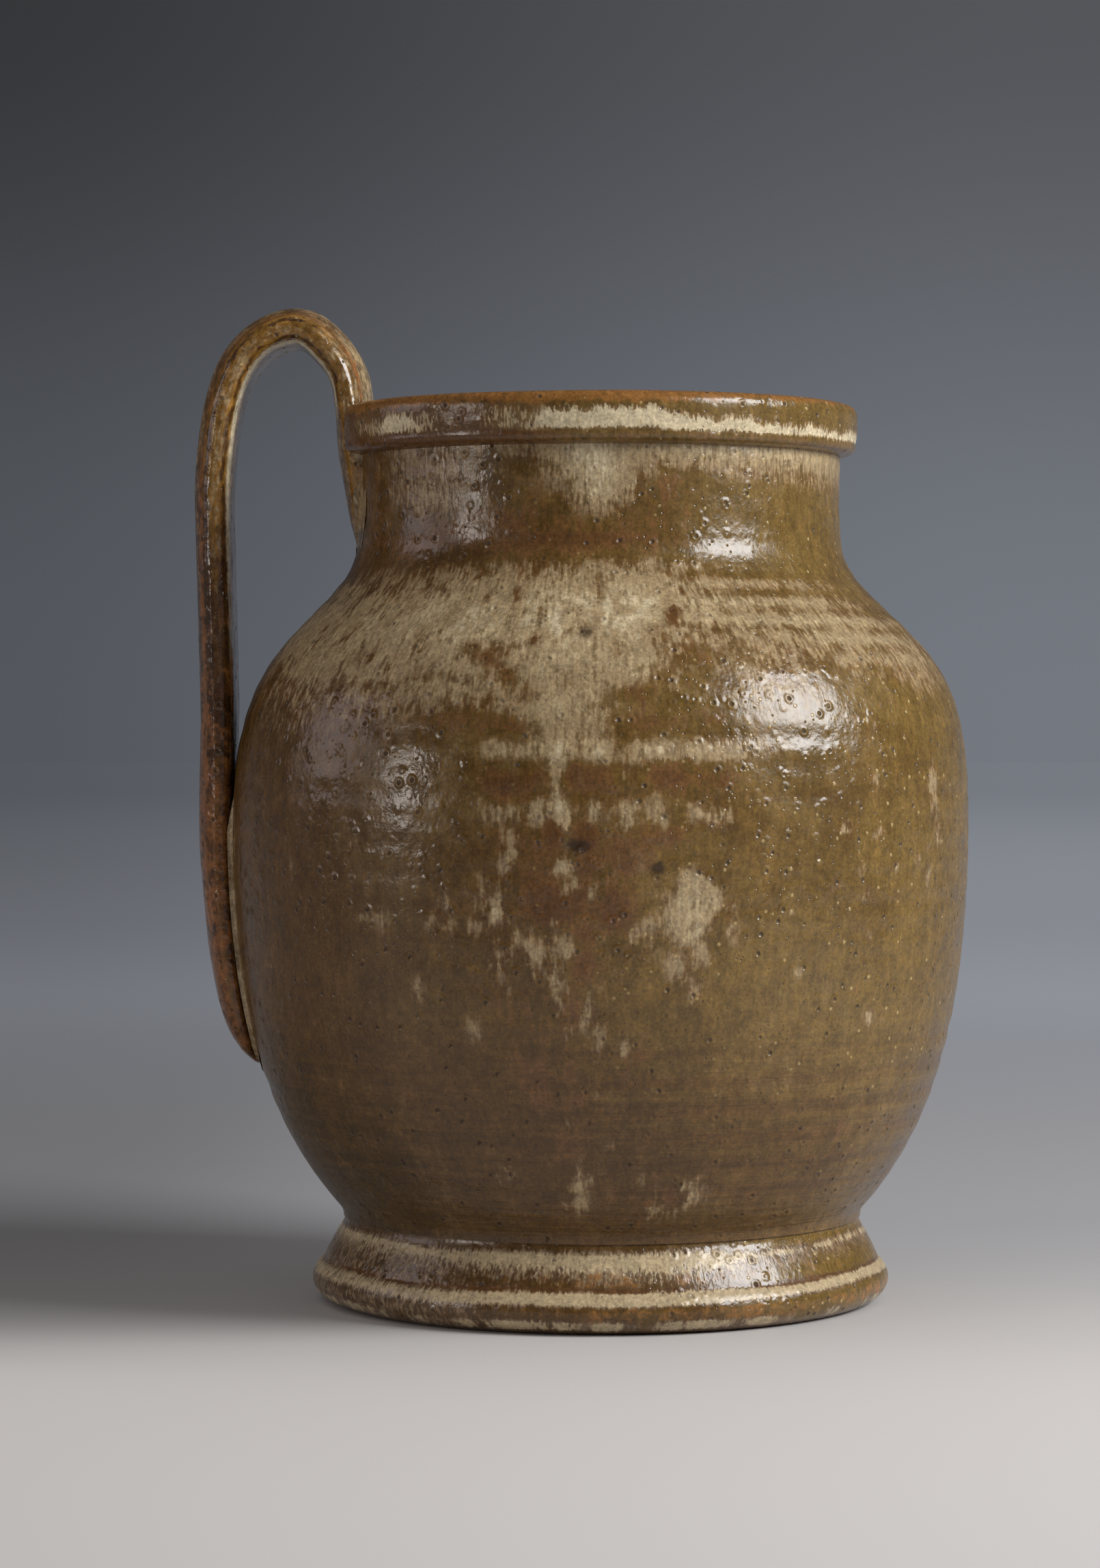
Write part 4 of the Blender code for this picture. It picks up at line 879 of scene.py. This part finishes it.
def paintStrap(piece):
    place = readBack(piece.data, "co")
    gap = np.linalg.norm(place[:, None, [0, 2]] - middle[None, ::4], axis=2)
    nearest = np.argmin(gap, axis=1) * 4
    edge = np.abs(place[:, 1]) / np.maximum(strapWidth[nearest] / 2, 0.001)
    offset = place[:, [0, 2]] - middle[nearest]
    deepness = np.einsum("ij,ij->i", offset, outDir[nearest]) / np.maximum(strapThick[nearest] / 2, 0.0005)
    along = nearest / len(stations)
    length = nearest * strap["step"] + np.einsum("ij,ij->i", offset, stepAlong[nearest])
    waver = sum(size * np.sin(math.tau * length / wave + seed) for wave, size, seed in strap["waver"])
    long, short = strap["patches"]
    patchy = 0.72 + 0.28 * np.sin(math.tau * length / long + 0.7) * np.sin(math.tau * length / short)
    low = unit((along - 0.44) / 0.28)  # 0 on the arch, 1 on the tail
    leg = bump(along, 0.60, 0.13)  # darkest half way down
    rand = unit((edge - 0.70) / 0.25)  # 1 on the strap's two narrow sides
    core = bump(deepness, 0.0, 0.50) * rand
    onNeck = place[:, 0] > legX
    root = unit((rimZ - 0.0005 - place[:, 2]) / 0.004) * onNeck  # smeared out on the neck
    slip = unit((rimZ + 0.034 - place[:, 2]) / 0.016) * onNeck  # wiped on above the rim
    lines = bump(np.abs(deepness + waver), 0.58, 0.16) * rand * patchy * (1 - root)  # dark stripes that wander
    innerLine = unit((-deepness - 0.70) / 0.10) * unit((edge - 0.45) / 0.3) * (1 - root)
    outerLine = unit((deepness - 0.78) / 0.15) * unit((edge - 0.6) / 0.3) * (1 - root)
    pale = core * (0.26 - 0.24 * low) + 0.34 * slip * unit(deepness + 0.2)
    pale = pale + 1.25 * innerLine * (1 - 0.8 * low) + 0.22 * (1 - rand) * (1 - low)
    pale = pale * (1 - root) + 0.46 * root * unit(1.25 - edge)
    rust = 0.85 * outerLine + 0.66 * low - 0.45 * leg * core
    deep = 0.95 * lines * (1 - 0.3 * low) + 0.28 * low + 0.45 * leg * core
    tone = core + 0.55 - 0.9 * low - 0.6 * leg
    flow = np.column_stack([place[:, 1], deepness * 0.004, length])
    paint(piece, flow, tone=tone, pale=pale, deep=deep, rust=rust)


handleStrap = finished("handleStrap", made("handleStrap", strapTree(), strapLine(), {
    **strapSizes, "Material": handleGlaze}))
paintStrap(handleStrap)

# slip worked into the creases where the strap is luted on

joint = {
    "Steps Across": 7, "wallSink": 0.0004, "rounding": 0.0045, "tuck": 0.0005, "tailTop": 0.121,
    "lowerPale": 0.62, "upperPale": 0.48,
    "lower": {"climb": 0.0016, "spread": 0.0021},
    "upper": {"climb": 0.80, "spread": 0.0068},  # climb as a share of the strap's height off the neck
    "landing": {"half": 0.0162, "climb": 0.0034, "spread": 0.0030, "level": 0.0106},  # where the strap meets the rim
}


def filletTree():
    size = newTree("creaseFillet", ["Steps Across"])
    line, steps = size["Geometry"], size["Steps Across"]
    columns = steps + 3.0
    grid, across, row = sheetOf(line, columns)
    climb, spread = (named(line, row, label, "FLOAT_VECTOR") for label in ("climb", "spread"))
    step = calc("ROUND", across * (columns - 1.0))
    opened = 1.0 - calc("GREATER_THAN", step, steps + 1.5)  # 0 on the last column, which is the first again
    share = step / steps * opened  # 0 on the strap to 1 on the wall
    hidden = calc("GREATER_THAN", step / steps, 1.01) * opened  # behind the crease
    shown, rest = 1.0 - hidden, 1.0 - share
    back = hidden * 0.35
    up = scaled(climb, shown * (rest * rest) - back)
    off = scaled(spread, shown * (share * share) - back)
    return endTree(grid, summed(placed(line, row), summed(up, off)), size["Material"])


creaseFillet = filletTree()


def wallPoint(across, height, radius):  # a point on the handle's side of the pot
    turn = across / radius
    return np.column_stack([-radius * np.cos(turn) + leanPerMetre * height, radius * np.sin(turn), height])


def tailCrease(half, height, radius, climb, spreadBy):  # down one edge of a tail, round its end and up the other
    across = np.concatenate([half, -half[::-1][1:]])
    level, reach, climb = (np.concatenate([value, value[::-1][1:]]) for value in (height, radius, climb))
    away = leftOf(heading(np.column_stack([across, level])))
    away *= np.sign(away[0, 0])
    corner = wallPoint(across, level, reach - joint["wallSink"])
    spread = wallPoint(across + away[:, 0] * spreadBy, level + away[:, 1] * spreadBy, reach)
    normal = np.column_stack([-np.cos(across / reach), np.sin(across / reach), np.zeros(len(across))])
    order = np.arange(len(across))
    taper = unit(np.minimum(order, order[::-1]) / 8.0)[:, None]
    return corner, normal * climb[:, None] * taper, (spread - corner) * taper


def tailHalf(chosen):  # half the width of a tail, tucked a little under its edge
    return np.maximum(strapWidth[chosen] / 2 - joint["tuck"], 0.0)


def lowerCrease(climb, spread):
    tail = (strapX < legX) & (strapZ < joint["tailTop"])
    level = strapZ[tail]
    return tailCrease(tailHalf(tail), level, wallRadius(level), np.full(len(level), climb), spread)


def upperCrease(climb, spread):
    root = np.flatnonzero((strapX > legX) & (strapZ < rimZ - 0.0008))[::-1]
    level = strapZ[root]
    half = tailHalf(root) * np.sqrt(unit((level - level.min()) / joint["rounding"]))
    reach = np.where(level < neckZ, wallRadius(level), np.interp(level, neckLine[:, 1], neckLine[:, 0]))
    proud = strapThick[root] + strapCrown[root] - strapX[root] - reach + leanPerMetre * level
    return tailCrease(half, level, reach, np.maximum(proud, 0.0003) * climb, spread)


lipLine = rimLine[np.argmax(rimLine[:, 1]):]
lipLine = lipLine[lipLine[:, 1] > rimZ + 0.001]  # from the rim's crest down its inside
lipRun = runOf(lipLine)


def landingCrease(half, climb, spread, level):  # across the strap's crowned face where it comes down on the rim
    across = np.linspace(-half, half, 41)
    at = np.argmin(np.abs(strapZ - rimZ - level) + (strapX < legX))
    crowned = strapCrown[at] * (1 - (across / (strapWidth[at] / 2)) ** 2)
    face = strapX[at] - strapCrown[at] + crowned
    lean = leanPerMetre * rimZ
    turn = np.arctan2(across, lean - face)
    start = np.interp(-np.hypot(face - lean, across), -lipLine[:, 0], lipRun)
    taper = np.sin(np.linspace(0.0, math.pi, len(across))) ** 0.5 * (0.55 + 0.45 * np.abs(across) / half)

    def onLip(run):
        reach, lip = (np.interp(run, lipRun, lipLine[:, k]) for k in (0, 1))
        return np.column_stack([lean - reach * np.cos(turn), reach * np.sin(turn), lip])

    corner = onLip(start) - np.array([0.0003, 0.0, joint["wallSink"]])
    end = onLip(start + spread * taper) - np.array([0.0006, 0.0, 0.0003])
    zero = np.zeros(len(across))
    closing = unit(taper * 4.0)[:, None]  # both ends close to a point
    return corner, np.column_stack([zero, zero, climb * taper]), (end - corner) * closing


def filletMesh(name, corner, climb, spread):
    line = lineMesh(name, corner, climb=climb, spread=spread)
    return made(name, creaseFillet, line, {"Steps Across": joint["Steps Across"], "Material": jointGlaze})


def together(first, second):  # two meshes as one
    shape = bmesh.new()
    for mesh in (first, second):
        shape.from_mesh(mesh)
    shape.to_mesh(first)
    shape.free()
    bpy.data.meshes.remove(second)
    return first


def paintJoint(piece, painted):
    angle, radius, height, _ = measured(piece)
    slipAndGleam = 0.42 + 25.0 * radius * np.abs(np.cos(np.radians(angle)))  # pale slip, brightest at its ends on the rim: partly a painted highlight
    pale = np.where(height > rimZ, slipAndGleam, painted)
    paint(piece, drum(angle, height), tone=0.35, pale=pale, deep=0.15, rust=0.1)


lowerJoint = finished("lowerJoint", filletMesh("lowerJoint", *lowerCrease(**joint["lower"])))
neckMesh = filletMesh("neckJoint", *upperCrease(**joint["upper"]))
upperJoint = finished("upperJoint", together(neckMesh, filletMesh("landing", *landingCrease(**joint["landing"]))))
paintJoint(lowerJoint, joint["lowerPale"])
paintJoint(upperJoint, joint["upperPale"])
print("handle and joints made")

for piece, slot, node in (
        (footBase, "foot_glaze", "foot_base"), (lowerBelly, "belly_glaze", "lower_belly"),
        (upperBelly, "belly_glaze", "upper_belly"), (neckCollar, "belly_glaze", "neck_collar"),
        (rimBand, "rim_glaze", "rim_band"), (handleStrap, "handle_glaze", "handle_strap"),
        (upperJoint, "joint_glaze", "upper_joint_coil"), (lowerJoint, "joint_glaze", "lower_joint_coil")):
    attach(piece, "root")
    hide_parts(node)

# floor, light and camera

studio = {
    "floorNear": (0.635, 0.612, 0.598), "floorFar": (0.392, 0.392, 0.408), "floorShadow": 0.62,
    "floorHalf": 9.0, "paperRough": 0.65,
    "aim": 0.11,  # height that the lamps look at
    "lightLow": (0.085, 0.081, 0.079), "lightHigh": (0.425, 0.417, 0.413),  # the room, at the sides and above
    "farGlow": [(0.30, (0.315, 0.325, 0.358)), (0.85, (0.262, 0.275, 0.306)), (1.8, (0.228, 0.240, 0.270)),
             (6.0, (0.172, 0.186, 0.212))],  # a painted glow that the far floor shows, by distance, in place of the lit backdrop
    "skyLow": (0.166, 0.180, 0.206), "skyHigh": (0.085, 0.087, 0.096), "dim": 0.52, "dimNear": 0.14, "dimHigh": -0.10,
    "key": {"turn": 66.0, "lift": 30.0, "away": 1.2, "size": (0.60, 0.54), "power": 16.3, "tint": (1.0, 1.0, 1.0)},
    "fill": {"turn": -62.0, "lift": 8.0, "away": 1.3, "size": (0.17, 0.21), "power": 1.75, "tint": (1.0, 0.92, 0.85)},
    "wash": {"turn": -92.0, "lift": 17.0, "away": 1.3, "size": (0.50, 0.54), "power": 1.35, "tint": (1.0, 0.90, 0.93)},
}


def shadedToLeft(colour, side, least):  # painted shade: the backdrop darkens to the left, down to the least
    return scaled(colour, soft(side, -0.15, 0.12) * (1.05 - least) + least)


def addFloor():
    mesh = bpy.data.meshes.new("floor")
    half = studio["floorHalf"]
    mesh.from_pydata([(-half, -half, 0), (half, -half, 0), (half, half, 0), (-half, half, 0)], [], [(0, 1, 2, 3)])
    floor = bpy.data.objects.new("floor", mesh)
    bpy.context.collection.objects.link(floor)
    material = bpy.data.materials.new("floorPaper")
    material.use_nodes = True
    tree = material.node_tree
    here = wired(tree, "ShaderNodeTexCoord", output="Object")
    away = wired(tree, "ShaderNodeVectorMath", {0: here}, "Value", operation="LENGTH")
    right, back, _ = parted(here)
    # painted shade: the paper darkens further back
    paperTone = mixed(soft(back, -0.16, 0.16), studio["floorNear"], studio["floorFar"])
    # painted shadow: darker at the left behind the pot, where its shadow falls
    leftShade = soft(right, 0.0, -0.16) * soft(back, -0.13, -0.03)
    paperTone = scaled(paperTone, calc("MULTIPLY_ADD", leftShade, studio["floorShadow"] - 1.0, 1.0))
    paper = tree.nodes["Principled BSDF"]
    feed(paper, {"Base Color": paperTone, "Roughness": studio["paperRough"]})
    colour = studio["farGlow"][0][1]
    for (near, _), (far, tint) in zip(studio["farGlow"], studio["farGlow"][1:]):
        colour = mixed(soft(away, near, far), colour, tint)
    least = soft(away, 3.0, 0.5, studio["dimNear"]) + studio["dim"]
    farGlow = wired(tree, "ShaderNodeEmission", {"Color": shadedToLeft(colour, right / (away + 1.0), least)})
    shares = {0: soft(away, 0.16, 1.1), 1: Wire(paper.outputs[0]), 2: farGlow}  # far off, the floor turns into a glowing, painted backdrop
    feed(tree.nodes["Material Output"], {"Surface": wired(tree, "ShaderNodeMixShader", shares)})
    mesh.materials.append(material)


def addSky():
    world = bpy.data.worlds.new("studioSky")
    bpy.context.scene.world = world
    world.use_nodes = True
    tree = world.node_tree
    tree.nodes.clear()
    right, _, up = parted(wired(tree, "ShaderNodeTexCoord", output="Generated"))
    # the backdrop that the camera and reflections see, painted lighter low and darker high
    seen = mixed(soft(up, 0.0, 0.17), studio["skyLow"], studio["skyHigh"])
    least = calc("MULTIPLY_ADD", soft(up, 0.05, 0.17), studio["dimHigh"], studio["dim"])
    look = wired(tree, "ShaderNodeBackground", {"Color": shadedToLeft(seen, right, least)})
    glow = mixed(soft(up, 0.05, 0.85), studio["lightLow"], studio["lightHigh"])
    light = wired(tree, "ShaderNodeBackground", {"Color": glow})
    rays = put(tree, "ShaderNodeLightPath").outputs
    camera, glossy, through = (Wire(rays[f"Is {kind} Ray"]) for kind in ("Camera", "Glossy", "Transmission"))
    shares = {0: calc("MINIMUM", camera + (glossy + through), 1.0), 1: light, 2: look}
    put(tree, "ShaderNodeOutputWorld", {0: wired(tree, "ShaderNodeMixShader", shares)})


def addLamp(name):
    sizes = studio[name]
    lamp = bpy.data.lights.new(name, "AREA")
    lamp.shape = "RECTANGLE"
    lamp.size, lamp.size_y = sizes["size"]
    lamp.energy, lamp.color = sizes["power"], sizes["tint"]
    turn, lift = math.radians(sizes["turn"]), math.radians(sizes["lift"])
    lampObject = bpy.data.objects.new(name, lamp)
    lampObject.location = (sizes["away"] * math.sin(turn) * math.cos(lift),
                           -sizes["away"] * math.cos(turn) * math.cos(lift),
                           studio["aim"] + sizes["away"] * math.sin(lift))
    lampObject.rotation_euler = (math.pi / 2 - lift, 0.0, turn)
    bpy.context.collection.objects.link(lampObject)


view = {"place": (-0.0125, -1.0, 0.1414), "pitch": 1.10, "focalPixels": 6142.0, "frameHeight": 2296.0, "sensor": 36.0}


def addCamera():
    camera = bpy.data.cameras.new("camera")
    camera.sensor_width = view["sensor"]
    camera.lens = view["focalPixels"] / view["frameHeight"] * view["sensor"]
    camera.clip_start = 0.01
    cameraObject = bpy.data.objects.new("camera", camera)
    cameraObject.location = view["place"]
    cameraObject.rotation_euler = (math.pi / 2 - math.radians(view["pitch"]), 0.0, 0.0)
    bpy.context.collection.objects.link(cameraObject)
    bpy.context.scene.camera = cameraObject


addFloor()
addSky()
for name in ("key", "fill", "wash"):
    addLamp(name)
addCamera()
bpy.context.scene.view_settings.view_transform = "Standard"
print("studio set")
